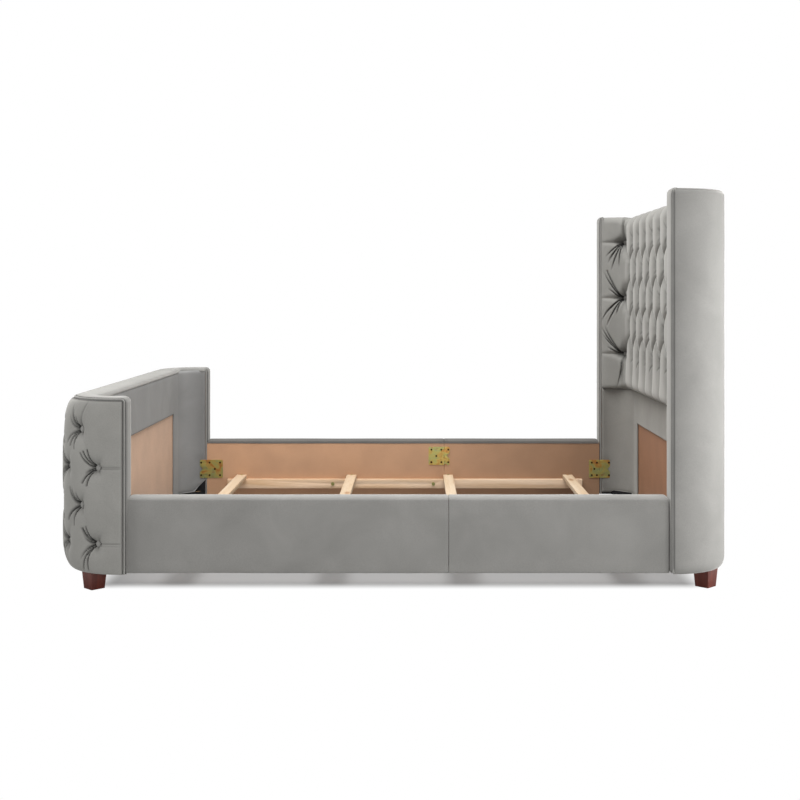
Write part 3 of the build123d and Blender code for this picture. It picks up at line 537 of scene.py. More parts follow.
# The plan runs from the left wing's front welt to the middle of the back, and four rounds of
# corner cutting smooth it. Columns of buttons are counted from the corner's.
tuft_half = 717 * mm
head_pitch = 2 * tuft_half / 9
head_step = 130 * mm
head_top_row = 1253 * mm
head_pit = 36 * mm
head_plan = np.array([
    (7, 802), (10, 790), (20, 776), (38, 764), (58, 755), (75, 747), (90, 736), (101, 721),
    (105, 703), (105, 640), (105, 0),
]) * mm
for _ in range(4):
    near, far = head_plan[:-1], head_plan[1:]
    cut = np.stack([near * 0.75 + far * 0.25, near * 0.25 + far * 0.75], 1).reshape(-1, 2)
    head_plan = np.vstack([head_plan[:1], cut, head_plan[-1:]])
head_run = np.concatenate([[0], np.cumsum(np.hypot(*np.diff(head_plan, axis=0).T))])
head_half_run = head_run[-1]
from_corner = np.hypot(head_plan[:, 0] - 92 * mm, head_plan[:, 1] - 733 * mm)
head_corner = head_run[np.argmin(from_corner)]
half_column = head_half_run - tuft_half + head_pitch / 2


def head_columns_at(s):
    """Place of a point along the quilt in columns of buttons, 0 being the first corner's."""
    s = np.minimum(s, 2 * head_half_run - s)
    before = (s - head_corner) / head_pitch
    return np.where(
        s < head_corner, before,
        np.interp(s, [head_corner, half_column, head_half_run], [0, 0.5, 4.5]),
    )


def rise(d):
    """How a puff rises from the fold beside it; d is 0 in the fold and 0.5 on the crest."""
    return 1 - (1 - 2 * np.clip(d, 0, 0.5)) ** 3.0


def smaller(a, b):
    """The lower of two rises, rounded where they meet."""
    low = np.maximum(np.minimum(a, b), 1e-4)
    high = np.maximum(np.maximum(a, b), 1e-4)
    return low * (2 / (1 + (low / high) ** 4)) ** 0.25


def puff(a, b):
    """Height of a diamond between two sets of slanting folds, whose folds are whole numbers."""
    return smaller(rise(np.abs(a - np.rint(a))), rise(np.abs(b - np.rint(b))))


def nearest_button(x, z, buttons):
    """Offset of each point from its nearest button, and that button's number."""
    best = np.full(x.shape, 9.0)
    number = np.zeros(x.shape, int)
    for n, (button_x, button_z) in enumerate(buttons):
        away = np.hypot(x - button_x, z - button_z)
        near = away < best
        best[near] = away[near]
        number[near] = n
    spots = np.array(buttons)
    return x - spots[number, 0], z - spots[number, 1], number


def fan(dx, dz, number, creases, depth, width, swing):
    """Depth of the creases that spread from each button, uneven as hand work is.

    A crease is its direction in degrees at the button and its length; each bends upright.
    """
    r = np.hypot(dx, dz)
    turn = np.arctan2(dz, dx)
    deepest = np.zeros(r.shape)
    for n, (angle, length) in enumerate(creases):
        upright = np.sign(np.cos(radians(angle)) * np.sin(radians(angle)))
        bend = radians(swing) * upright * r / (length * mm)
        lean = turn - radians(angle) - bend - radians(4) * np.sin(number * 7.3 + n * 2.1)
        reach = length * mm * (1 + 0.25 * np.sin(number * 3.7 + n * 5.1))
        line = bell(r * np.sin(lean), width * (0.7 + 0.6 * r / reach))
        fade = np.clip(1 - (r / reach) ** 2, 0, 1) * part_way(r, 14 * mm)
        deepest = np.maximum(deepest, depth * line * (np.cos(lean) > 0) * fade)
    return deepest


head_buttons = []
for row in range(5):
    for n in range(10 - row % 2):
        column = min(n + row % 2 / 2, 9 - n - row % 2 / 2)
        along = np.interp(column, [0, 0.5, 4.5], [head_corner, half_column, head_half_run])
        if n + row % 2 / 2 > 4.5:
            along = 2 * head_half_run - along
        head_buttons.append((float(along), head_top_row - row * head_step))
# The wings' long creases, for the corner buttons of the first, third and fifth rows.
corner_creases = (
    ((213, 105), (223, 135), (232, 145), (241, 130), (251, 95)),
    ((124, 165), (131, 160), (139, 140), (149, 100),
     (211, 105), (221, 135), (231, 145), (242, 105)),
    ((128, 140), (137, 155), (147, 140), (158, 105), (262, 165), (272, 150)),
)


def head_depth(s, z, past):
    """How far the quilt lies below its crest; past is the way over the top above the rows."""
    k = head_columns_at(s)
    free = (head_top_row - z - past) / (2 * head_step)
    m = np.clip(free, 0, 2)
    level = z + past
    dx, dz, number = nearest_button(s, level, head_buttons)
    r = np.hypot(dx, dz)
    wave = 0.020 * np.sin(s * 31 + z * 17) + 0.016 * np.sin(s * 53 - z * 29)
    slant = m - 0.8 * np.sin(4 * pi * m) / (4 * pi)
    a, b = k + slant + wave, k - slant - wave
    back = puff(a, b)
    beside = part_way(-k * head_pitch, 75 * mm)
    gap = np.where(free < 0, -free, np.where(free > 2, free - 2, np.abs(free - np.rint(free))))
    wing = rise(gap * (1 + 5 * beside))
    share = np.where(k < 0, wing, back)
    above = np.interp(level - head_top_row, [0, 0.05, 0.12, 0.20, 0.30], [22, 19, 14, 7, 3]) * mm
    below = np.interp(head_top_row - 4 * head_step - z, [0, 0.05, 0.10, 0.165], [21, 15, 8, 3]) * mm
    valley = np.minimum(above, below)
    valley = np.where(k < 0, 20 * mm - 12 * mm * np.sqrt(beside), valley)
    valley = valley + (head_pit - valley) * bell(r, 24 * mm)
    depth = valley * (1 - share * (1 - bell(r, 16 * mm)))
    side = np.where(s > head_half_run, -1.0, 1.0)
    z_of = np.array([button_z for _, button_z in head_buttons])[number]
    row = np.rint((head_top_row - z_of) / head_step).astype(int)
    on_wing = part_way(-k * head_pitch, 6 * mm)
    creases = np.zeros(len(s))
    for n, lines in enumerate(corner_creases):
        drawn = fan(dx * side, dz, number, lines, 15.0 * mm, 2.1 * mm, 7) * on_wing
        creases = np.where(row == 2 * n, drawn, creases)
    small = fan(
        dx, dz, number, ((35, 55), (145, 55), (215, 55), (325, 55), (75, 45), (255, 45)),
        7.0 * mm, 2.8 * mm, 15,
    )
    creases = creases + small * part_way(k * head_pitch, 8 * mm)
    return depth, creases


def reach_to(u, y, way_u, way_y, half, depth, radius):
    """How far it is along a direction to the outline of a U-shaped board."""
    across = np.where(way_y > 1e-6, (half - y) / np.maximum(way_y, 1e-6), 9.0)
    rearward = np.where(way_u > 1e-6, (depth - u) / np.maximum(way_u, 1e-6), 9.0)
    straight = np.minimum(across, rearward)
    off_u, off_y = u - (depth - radius), y - (half - radius)
    towards = way_u * off_u + way_y * off_y
    inside = np.maximum(towards ** 2 - off_u ** 2 - off_y ** 2 + radius ** 2, 0)
    arc = np.sqrt(inside) - towards
    round_corner = (u + way_u * arc > depth - radius) & (y + way_y * arc > half - radius)
    return np.where(round_corner, arc, straight)


outer_face = (892 * mm, 203.5 * mm, 192 * mm)
inner_face = (804.5 * mm, 147.5 * mm, 54.5 * mm)


def head_section(s):
    """Plan of the quilt at a length along it: crest, way to the rear, and its depths.

    The way to the rear turns from sideways on the wings to straight back past the corner.
    """
    half = np.minimum(s, 2 * head_half_run - s)
    u = np.interp(half, head_run, head_plan[:, 0])
    y = np.interp(half, head_run, head_plan[:, 1])
    flip = np.where(s > head_half_run, -1.0, 1.0)
    back = part_way(half - head_corner + 34 * mm, 74 * mm)
    back = back * back * (3 - 2 * back)
    way_u, way_y = np.sin(back * pi / 2), np.cos(back * pi / 2)
    reach = reach_to(u, y, way_u, way_y, *outer_face)
    reach = np.where(u < band_corner, 3 * mm, reach)
    seat = reach_to(u, y, way_u, way_y, *inner_face)
    return u, y * flip, way_u, way_y * flip, reach, back, seat


past_corner = head_corner + 100 * mm
head_columns = stops(
    [0, past_corner, 2 * head_half_run - past_corner, 2 * head_half_run], 3.2 * mm
)


def quilt_rows(parts, last):
    """A quilt's section as rows, each of a kind and at a share of the way through it."""
    rows = [(kind, t) for kind, count in parts for t in np.linspace(0, 1, count)[:-1]] + last
    return np.array([kind for kind, _ in rows]), np.array([share for _, share in rows])


row_kind, row_share = quilt_rows(
    (("foot", 15), ("face", 211), ("roll", 27), ("top", 12)),
    [("top", 1), ("rear", 0), ("seat", 0), ("seat", 1), ("foot", 0)],
)


def quilt_shape(i, j):
    """The quilt from its foot up its face, over the roll to the top and back down inside."""
    s = head_columns[i]
    kind, share = row_kind[j], row_share[j]
    u, y, way_u, way_y, reach, back, seat = head_section(s)
    front = np.clip(band_corner - u, 0, band_corner)
    top = head_top - 1 * mm - (band_corner - np.sqrt(band_corner ** 2 - front ** 2))
    bottom = quilt_bottom
    deep = np.minimum(28 * mm + 22 * mm * back, reach)
    tall = 32 * mm + 28 * mm * back
    low_deep = np.minimum(14 * mm + 24 * mm * back, seat * 0.8)
    low_tall = 20 * mm + 20 * mm * back
    centre, low_centre = top - tall, bottom + low_tall
    turn = share * pi / 2
    over = (deep + tall) / 2
    kinds = [kind == name for name in ("foot", "face", "roll", "top", "rear", "seat")]
    z = np.select(kinds, [
        low_centre - low_tall * np.cos(turn), low_centre + (centre - low_centre) * share,
        centre + tall * np.sin(turn), top - 1.5 * mm * share ** 6,
        top - 8 * mm, np.where(share > 0, bottom, top - 8 * mm),
    ])
    q = np.select(kinds, [
        low_deep * (1 - np.sin(turn)), 0, deep * (1 - np.cos(turn)),
        deep + (reach - deep) * share, reach, seat,
    ])
    shown = kinds[:4]
    into = np.select(shown, [np.sin(turn), 1, np.cos(turn), 0])
    up = np.select(shown, [np.cos(turn), 0, -np.sin(turn), -1])
    past = np.select(kinds[2:4], [
        over * turn - (z - centre), over * pi / 2 - tall + (reach - deep) * share,
    ])
    depth, creases = head_depth(s, z, past)
    ease = np.select(shown, [0.35 + 0.65 * np.sin(turn), 1, 1, 1 - 0.7 * share])
    from_front = np.minimum(s, 2 * head_half_run - s)
    ease = ease * part_way(from_front, 14 * mm) * (j < len(row_kind) - 1)
    # Painted shade in the valleys, the button pits and the creases, and at the front seam.
    painted_shade = 0.9 * (depth / head_pit) ** 2.6 + 0.9 * creases / (10 * mm)
    front_seam = closeness(from_front, 5 * mm)
    painted_shade = np.clip(painted_shade * ease, front_seam * (ease > 0), 1)
    depth = (depth + creases) * ease
    q = q + depth * into
    z = z + depth * up
    return np.column_stack([head_front + u + way_u * q, y + way_y * q, z]), painted_shade


bm = lay_cloth(len(head_columns), len(row_kind), quilt_shape, closed=True)
head_quilt = put_in_scene(bm, "head_tufted_quilt", tufted_velvet, 80)
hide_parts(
    "headboard_back_tufted_pad", "headboard_left_wing_pad", "headboard_right_wing_pad"
)


# Covered buttons: a domed steel shell wrapped in velvet and crimped, pulled into the foam
# on twine, so each sits at the bottom of its own dimple.


def covered_button():
    """A button's mesh about its own axis, dome towards +Z."""
    bm = bmesh.new()
    profile = (
        (0, 5.6), (4.5, 5.1), (8.0, 3.6), (10.2, 1.4), (11.0, -0.8), (10.0, -3.2), (6.0, -4.5),
    )
    line = [bm.verts.new((r * mm, 0, h * mm)) for r, h in profile]
    edges = [bm.edges.new(pair) for pair in zip(line[:-1], line[1:])]
    bmesh.ops.spin(
        bm, geom=line + edges, axis=(0, 0, 1), cent=(0, 0, 0), steps=20, angle=2 * pi,
        use_merge=True,
    )
    bmesh.ops.remove_doubles(bm, verts=bm.verts, dist=1e-6)
    bmesh.ops.holes_fill(bm, edges=[e for e in bm.edges if e.is_boundary], sides=0)
    bmesh.ops.recalc_face_normals(bm, faces=bm.faces)
    mesh = bpy.data.meshes.new("button_pattern")
    bm.to_mesh(mesh)
    bm.free()
    return mesh


button_pattern = covered_button()


def set_buttons(name, seats, cloth, node):
    """All of one board's buttons; each seat is a point and the way it faces."""
    bm = bmesh.new()
    for spot, facing in seats:
        before = len(bm.verts)
        bm.from_mesh(button_pattern)
        bm.verts.ensure_lookup_table()
        turned = Vector(facing).to_track_quat("Z", "Y").to_matrix().to_4x4()
        bmesh.ops.transform(
            bm, matrix=Matrix.Translation(spot) @ turned, verts=bm.verts[before:]
        )
    piece = put_in_scene(bm, name, cloth, 60)
    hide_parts(node)


seats = []
for along, z in head_buttons:
    u, y, way_u, way_y, *_ = head_section(np.array([along]))
    on_back = abs(y[0]) < 700 * mm
    sink = 29 * mm if on_back else head_pit
    seats.append((
        (head_front + u[0] + way_u[0] * sink, y[0] + way_y[0] * sink, z), (-way_u[0], -way_y[0], 0)
    ))
# The headboard's buttons take the darkest velvet, painted shade for the pits they sit in.
set_buttons("head_buttons", seats, shaded_velvet, "headboard_buttons")


# Footboard inside: flat velvet lining up to the top border, with the same bare window.

foot_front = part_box("footboard_border")[1][0]
foot_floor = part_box("footboard_corner_boards")[0][2] - 1 * mm
foot_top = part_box("footboard_border")[1][2]
inner_cloth(
    "foot_inner_lining", foot_velvet, foot_front, -1, 120 * mm, 84 * mm, foot_top - welt,
    window_half, 464 * mm, 54 * mm, 0.42, ("footboard_inner_cover", "footboard_wing_covers"),
)


# Footboard border: one long strip of velvet, up the left wing's front, round the flat top
# and down the right wing, its inner edge rolled over onto the lining.

border_inner = (800 * mm, 120 * mm, 50 * mm, band_corner)
border_outer = (885 * mm, 208 * mm, 182 * mm, band_corner)
upright = foot_top - foot_floor - band_corner
bend = band_corner * pi / 2
top_start, top_run = upright + bend, 1750 * mm
border_columns = stops([
    0, upright - 10 * mm, top_start, top_start + 250 * mm, top_start + 1500 * mm,
    top_start + top_run, 2 * top_start + top_run,
], 8 * mm)
border_total = border_columns[-1]
border_rows, lap_rows = 36, 5


def matched(share, half, depth, radius, start):
    """Length along one of the border's edges at a share of the way round the top."""
    side, corner = depth - radius - start, radius * pi / 2
    parts = np.cumsum([0, side, corner, 2 * (half - radius), corner, side])
    return np.interp(share, [0, 0.02, 0.16, 0.84, 0.98, 1], parts)


def border_shape(i, j):
    """The strip between its inner and outer edges, lapped over the lining inside."""
    t = border_columns[i]
    side = np.where(t > border_total / 2, -1.0, 1.0)
    near = np.minimum(t, border_total - t)
    round_share = part_way(t - top_start, border_total - 2 * top_start)
    in_u, in_y, *_ = outline(matched(round_share, *border_inner), *border_inner)
    rim_u, rim_y, *_ = outline(matched(round_share, *border_outer), *border_outer)
    u0, z0, ahead, up = band_path(near, foot_floor, foot_top)
    on_top = near >= top_start - 1e-6
    front_in = clear_half + welt * (1 - part_way(near - upright, bend))
    in_u = np.where(on_top, in_u, u0)
    rim_u = np.where(on_top, rim_u, u0)
    in_y = np.where(on_top, in_y, side * front_in)
    rim_y = np.where(on_top, rim_y, side * border_outer[0])
    across = part_way(j, border_rows - lap_rows)
    roll = part_way(j - (border_rows - lap_rows), lap_rows - 1)
    over = 8 * mm * up
    width = np.maximum(np.hypot(in_u - rim_u, in_y - rim_y), 1e-6)
    away_u, away_y = (in_u - rim_u) / width, (in_y - rim_y) / width
    crown = np.where(roll > 0, 0.0, 3.0 * mm * (1 - (2 * across - 1) ** 4)) - 2.0 * mm
    q = (width - over) * across + over * np.sin(roll * pi / 2)
    z = z0 + up * crown - over * (1 - np.cos(roll * pi / 2))
    z = np.where((j == border_rows) & (up > 0.5), z - 6 * mm, z)
    away = width * np.minimum(across, np.where(up > 0.5, 1.0, 1 - across))
    depth = rim_u + away_u * q - ahead * crown
    points = np.column_stack([foot_front - depth, rim_y + away_y * q, z])
    # Painted shade along the seams and over the upright fronts, which face the head.
    return points, np.maximum(closeness(away), 0.6 * ahead)


bm = lay_cloth(len(border_columns), border_rows + 1, border_shape, flip=True, dents=0.5 * mm)
foot_border = put_in_scene(bm, "foot_border_velvet", smooth_velvet, 60)
thicken(foot_border, 3 * mm)
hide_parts("footboard_border")
welts(
    "foot_welts", foot_front, -1, 893 * mm, 216 * mm, 190 * mm, foot_floor, foot_top,
    "footboard_welts",
)


# Footboard tufting: a buttoned velvet quilt round the whole outside, shallow on the wings
# and fuller across the end, drawn in at its top welt and turned under at the floor edge.

foot_plan = (893 * mm, 216 * mm, 190 * mm)
foot_run = edge_length(*foot_plan)
foot_first = 95.5 * mm
foot_columns_count = 14
foot_pitch = (foot_run - 2 * foot_first) / foot_columns_count
foot_step = 129 * mm
foot_top_row = 553 * mm
foot_buttons = []
for row in range(4):
    for n in range(foot_columns_count + row % 2):
        along = foot_first + (n + (1 - row % 2) / 2) * foot_pitch
        foot_buttons.append((along, foot_top_row - row * foot_step))


# The wings' creases, for the buttons of the upper row and every second one, and the others.
row_creases = (
    ((136, 62), (147, 72), (158, 74), (169, 60), (190, 46), (201, 108), (211, 118), (222, 84)),
    ((142, 105), (153, 135), (164, 95), (176, 56), (187, 62), (198, 100), (208, 132), (220, 104)),
)


def foot_depth(s, z):
    """How far the footboard's quilt lies below its crest, and the depth of its creases."""
    k = (s - foot_first) / foot_pitch
    beyond = np.clip(np.maximum(-k, k - foot_columns_count), 0, None) * foot_pitch
    m = np.clip((foot_top_row - z) / (2 * foot_step), 0, 1.5)
    dx, dz, number = nearest_button(s, z, foot_buttons)
    r = np.hypot(dx, dz)
    wave = 0.010 * np.sin(s * 27 + z * 19) + 0.010 * np.sin(s * 47 - z * 23)
    share = puff(k + 0.5 + m + wave, k + 0.5 - m - wave)
    outside = part_way(np.maximum(z - foot_top_row, foot_top_row - 3 * foot_step - z), 90 * mm)
    on_end = np.clip((np.minimum(s, foot_run - s) - foot_first) / foot_pitch - 1.6, 0, 1)
    valley = (2.2 - 1.2 * outside + 8.0 * on_end) * mm
    valley = valley + (22 * mm - valley) * bell(r, 26 * mm)
    depth = valley * (1 - share) * bell(beyond, 25 * mm)
    pit, slack = 27 * mm * bell(r, 14 * mm), 5 * mm * bell(r, 32 * mm)
    depth = np.maximum(depth, pit) + slack * np.exp(-depth / (6 * mm))
    side = np.where(s > foot_run / 2, 1.0, -1.0)
    at_s, at_z = (np.array(foot_buttons)[number, n] for n in (0, 1))
    lower_row = np.rint((foot_top_row - at_z) / foot_step) % 2
    off_wing = np.minimum(at_s, foot_run - at_s) > foot_first + 1.25 * foot_pitch
    creases = np.zeros(len(s))
    for n, lines in enumerate(row_creases):
        drawn, others = (
            fan(way * dx * side, dz, number + turn, lines, 12.0 * mm, 2.1 * mm, 33)
            for way, turn in ((1, 0), (-1, 5))
        )
        creases = np.where(lower_row == n, np.maximum(drawn, others * off_wing), creases)
    creases = creases * closeness(beyond, 14 * mm) * (1 - 0.65 * on_end)
    pleat = bell(dx * side - 26 * mm * (dz / (90 * mm)) ** 2, 3 * mm) * 2.5 * mm
    pleat = pleat * (at_z > foot_top_row - 1 * mm) * part_way(dz, 30 * mm)
    level = bell(np.abs(dz) - 3 * mm, 1.8 * mm) * 2.2 * mm
    level = level * part_way(beyond, 12 * mm) * (lower_row > 0)
    return depth, creases + pleat + level


foot_edge = welt + 0.3 * mm
foot_columns = stops([foot_edge, foot_first, foot_run - foot_first, foot_run - foot_edge], 3.1 * mm)
foot_kind, foot_share = quilt_rows(
    (("foot", 36), ("face", 119), ("roll", 43)),
    [("roll", 1), ("rear", 1), ("rear", 0), ("foot", 0)],
)
wing_swell, end_swell = 7 * mm, 31.5 * mm
foot_turn, top_turn = 101 * mm, 124 * mm


def foot_shape(i, j):
    """The quilt swelling out from the floor edge and drawn in again under the top welt."""
    s = foot_columns[i]
    kind, share = foot_kind[j], foot_share[j]
    u, y, out_u, out_y = outline(s, *foot_plan)
    half = np.minimum(s, foot_run - s)
    swell = wing_swell * part_way(half, 20 * mm) + end_swell * out_u ** 2
    low, high = foot_floor, foot_top - welt
    turn = share * pi / 2
    kinds = [kind == "foot", kind == "face", kind == "roll"]
    z = np.select(kinds, [
        low + foot_turn * (1 - np.cos(turn)),
        low + foot_turn + (high - low - foot_turn - top_turn) * share,
        high - top_turn + top_turn * np.sin(turn),
    ], low)
    out = swell * np.select(kinds, [np.sin(turn), 1, np.cos(turn)], 1)
    depth, creases = foot_depth(s, z)
    ease = np.clip(np.minimum(z - low, high - z) / (18 * mm), 0.15, 1)
    ease = ease * part_way(half - welt, 10 * mm)
    hidden = (kind == "rear") | (j == len(foot_kind) - 1)
    ease = np.where(hidden, 0, ease)
    fullness = 2 * mm * part_way(half, 60 * mm)
    fullness = fullness * np.sin(pi * part_way(z - low, high - low)) ** 0.7
    # Painted shade in the valleys, the button pits and the creases, and along the welted edges.
    painted_shade = (0.8 * (depth / (30 * mm)) ** 1.3 + creases / (9 * mm)) * ease
    edge = np.minimum(half - welt, high - z)
    painted_shade = np.clip(painted_shade, np.where(hidden, 0, closeness(edge, 4 * mm)), 1)
    out = np.where(hidden, 0, out + fullness - (depth + creases) * ease)
    out = np.where(kind == "rear", -34 * mm, out)
    z = np.where(kind == "rear", np.where(share > 0, high, low), z)
    return np.column_stack([foot_front - (u + out_u * out), y + out_y * out, z]), painted_shade


bm = lay_cloth(len(foot_columns), len(foot_kind), foot_shape, closed=True)
foot_quilt = put_in_scene(bm, "foot_tufted_quilt", tufted_velvet, 80)
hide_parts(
    "footboard_front_tufted_pad", "footboard_left_tufted_pad",
    "footboard_right_tufted_pad",
)

seats = []
for along, z in foot_buttons:
    u, y, out_u, out_y = (v[0] for v in outline(np.array([along]), *foot_plan))
    reach = wing_swell + end_swell * out_u ** 2 - 16 * mm
    seats.append((
        (foot_front - (u + out_u * reach), y + out_y * reach, z), (-out_u, out_y, 0)
    ))
set_buttons("foot_buttons", seats, smooth_velvet, "footboard_buttons")


# Rail covers: padded velvet over the outside and top of each rail, rounded over the top
# edge, turned down inside and stapled; two rails a side meet in an upright joint.


board_ends = 900 * mm


def rail_cover(node):
    """The cloth of one rail, its section carried along it with softly rounded ends."""
    low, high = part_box(node)
    side = 1 if low.y > 0 else -1
    x0, x1 = low.x, high.x - (2 * mm if high.x > board_ends else 0)
    bottom, top = low.z, high.z
    inner, outer = 798.5 * mm, 870 * mm
    radius, low_radius, in_radius, end_radius, end_depth = (n * mm for n in (9, 3.5, 3, 15, 14))
    points = [(inner, top - 12 * mm), (inner, top - in_radius)]
    points += [
        (inner + in_radius * (1 - np.cos(t)), top - in_radius * (1 - np.sin(t)))
        for t in np.linspace(0.3, pi / 2, 4)
    ]
    points += [(y, top) for y in np.linspace(inner + 8 * mm, outer - radius, 9)]
    points += [
        (outer - radius * (1 - np.sin(t)), top - radius * (1 - np.cos(t)))
        for t in np.linspace(0.2, pi / 2, 7)
    ]
    points += [(outer, z) for z in np.linspace(top - radius, bottom + low_radius, 22)[1:-1]]
    points += [
        (outer - low_radius * (1 - np.cos(t)), bottom + low_radius * (1 - np.sin(t)))
        for t in np.linspace(0, pi / 2, 6)
    ]
    points += [
        (inner + 2 * mm, bottom), (inner + 2 * mm, bottom + 2 * mm),
        (outer - 20 * mm, bottom + 2 * mm), (outer - 20 * mm, top - 8 * mm),
        (inner + 1.5 * mm, top - 8 * mm), (inner + 1.5 * mm, top - 12 * mm), points[0],
    ]
    section = np.array(points)
    by_end = np.array([0.5, 1.2, 2.5, 4, 7]) * mm
    columns = np.unique(np.concatenate([
        stops([x0, x0 + 12 * mm, x1 - 12 * mm, x1], 14 * mm), x0 + by_end, x1 - by_end,
    ]))

    def shape(i, j):
        x = columns[i]
        y, z = section[j, 0], section[j, 1]
        end = np.minimum(x - x0, x1 - x)
        at_head = x > board_ends
        draw = 3.0 * mm * (1 - np.sqrt(1 - (1 - part_way(end, 4 * mm)) ** 2))
        draw = draw * np.where(at_head, 0.35, 1)
        height = part_way(z - bottom, top - bottom)
        full = 1.6 * mm * np.sin(pi * height) * (y > outer - 1 * mm)
        y = y - np.where(y > outer - radius - 1e-6, draw, 0) + full
        z = z - np.where(z > top - radius, draw, 0)
        crown = (7 if side > 0 else 5.5) * mm * np.sin(pi * part_way(y - inner, 70 * mm))
        z = z + crown * (height > 0.95)
        board_end = x1 - x if x1 > board_ends else x - x0 if x0 < -board_ends else 1.0
        cut = np.clip(end_radius - board_end, 0, end_radius)
        corner = end_radius - np.sqrt(end_radius ** 2 - cut ** 2)
        z = z - corner * part_way(z - top + end_depth, end_depth)
        # Painted shade in the gap at the head end.
        return np.column_stack([x, side * y, z]), at_head * closeness(end, 2 * mm)

    bm = lay_cloth(len(columns), len(section), shape, dents=0.7 * mm, dent_size=0.2, closed=True)
    # The far rails take the velvet painted with shade.
    cloth = shaded_velvet if side > 0 else smooth_velvet
    piece = put_in_scene(bm, node + "_velvet", cloth, 60)
    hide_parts(node)


for side in ("left", "right"):
    rail_cover(side + "_foot_rail_cover")
    rail_cover(side + "_head_rail_cover")


# Dust covers: thin black non-woven cloth stapled under both boards and turned up a little
# inside, with a folded corner that shows at the foot of each footboard wing.

# Spun fibres of 0.05 mm, drawn at 1 mm to show, make the black cloth dull and slightly uneven.
black_cloth, tree, place = blank_material("black_lining_cloth")
fibres = add(tree, "TexNoise", {"Vector": place, "Scale": 900.0, "Detail": 3.0})
ramp = add(tree, "MapRange", {"Value": fibres, **levels(0.0, 1.0, 0.6, 1.5)})
tint = add(tree, "VectorMath", {0: colour("#1B1B1D")[:3], "Scale": ramp}, operation="SCALE")
finish(tree, {"Base Color": tint, "Roughness": 0.9, "Specular IOR Level": 0.2}, fibres, 0.4, 0.2)


def merged_copy(node):
    """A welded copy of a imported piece's mesh, flat faces made whole again."""
    bm = bmesh.new()
    bm.from_mesh(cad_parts[node].data)
    bmesh.ops.remove_doubles(bm, verts=bm.verts, dist=1e-6)
    bmesh.ops.dissolve_limit(bm, angle_limit=radians(2), verts=bm.verts, edges=bm.edges)
    return bm


for node in ("headboard_dust_cover", "footboard_dust_cover"):
    piece = put_in_scene(merged_copy(node), node + "_cloth", black_cloth, 30)
    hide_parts(node)


# Fibreboard, plywood and pine: bare boards inside the rails and boards, planed pine for
# ledgers, slats and frames, and leg blocks stained red-brown under a satin lacquer.


def wood(name, light, dark, along, ring, rough, coat=0.0, knots_share=0.0):
    """Solid wood: pale and dark bands along the grain, fine fibres and, in pine, a few knots.

    The growth rings, some mm wide, are drawn in bands of four, as single ones would not show.
    The fibres are drawn 2.2 mm wide and the knots lie about 110 mm apart.
    """
    made, tree, place = blank_material(name)
    lengthways, knot_spread = (
        [share if axis == along else 1.0 for axis in "XYZ"] for share in (0.06, 0.35)
    )
    grain = add(tree, "Mapping", {"Vector": place, "Scale": lengthways})
    bands = add(tree, "TexNoise", {
        "Vector": grain, "Scale": 1000.0 / ring / 4, "Detail": 4.0, "Roughness": 0.6,
        "Distortion": 0.8,
    })
    fine = add(tree, "TexNoise", {"Vector": grain, "Scale": 1000.0 / 2.2, "Detail": 2.0})
    shift = add(tree, "MapRange", {"Value": bands, **levels(0.32, 0.68)})
    body = add(tree, "Mix", {0: shift, 6: colour(light), 7: colour(dark)}, data_type="RGBA")
    fleck = add(tree, "MapRange", {"Value": fine, **levels(0.3, 0.7, 0.92, 1.05)})
    if knots_share:
        knot_place = add(tree, "Mapping", {"Vector": place, "Scale": knot_spread})
        spots = add(tree, "TexVoronoi", {"Vector": knot_place, "Scale": 9.0, "Randomness": 1.0})
        knot = add(tree, "MapRange", {
            "Value": spots.outputs["Distance"], **levels(0.05, 0.16, knots_share, 0.0),
        }, interpolation_type="SMOOTHSTEP")
        body = add(tree, "Mix", {
            0: knot, 6: body.outputs[2], 7: colour("#9A6A3C"),
        }, data_type="RGBA")
    tint = add(tree, "VectorMath", {0: body.outputs[2], "Scale": fleck}, operation="SCALE")
    finish(tree, {
        "Base Color": tint, "Roughness": rough, "Coat Weight": coat, "Coat Roughness": 0.18,
    }, fine, 0.3, 0.25)
    return made


def pressed_board(name, tone, fleck_tone, head_end_shade=0.0):
    """Pressed wood fibre: dull brown with darker fibres, and painted shade that darkens it toward
    the head.

    The fibres are drawn 3 mm wide, coarser than the real 0.3 mm, over 110 mm clouds.
    """
    made, tree, place = blank_material(name)
    cloud = add(tree, "TexNoise", {"Vector": place, "Scale": 9.0, "Detail": 4.0})
    fibres = add(tree, "TexNoise", {
        "Vector": place, "Scale": 330.0, "Detail": 4.0, "Roughness": 0.7,
    })
    mottle = add(tree, "MapRange", {"Value": cloud, **levels(0.3, 0.7, 0.93, 1.06)})
    flecks = add(tree, "MapRange", {"Value": fibres, **levels(0.42, 0.70)})
    body = add(tree, "Mix", {0: flecks, 6: colour(tone), 7: colour(fleck_tone)}, data_type="RGBA")
    tint = add(tree, "VectorMath", {0: body.outputs[2], "Scale": mottle}, operation="SCALE")
    # Painted shade, darkening the board along X toward the head, where the headboard shades it.
    along = add(tree, "SeparateXYZ", {0: place}).outputs["X"]
    brown = add(tree, "MapRange", {"Value": along, **levels(0.1, 0.85, 1.0, 1.0 - head_end_shade)})
    tint = add(tree, "VectorMath", {0: tint, "Scale": brown}, operation="SCALE")
    finish(tree, {
        "Base Color": tint, "Roughness": 0.62, "Specular IOR Level": 0.4,
    }, fibres, 0.25, 0.2)
    return made


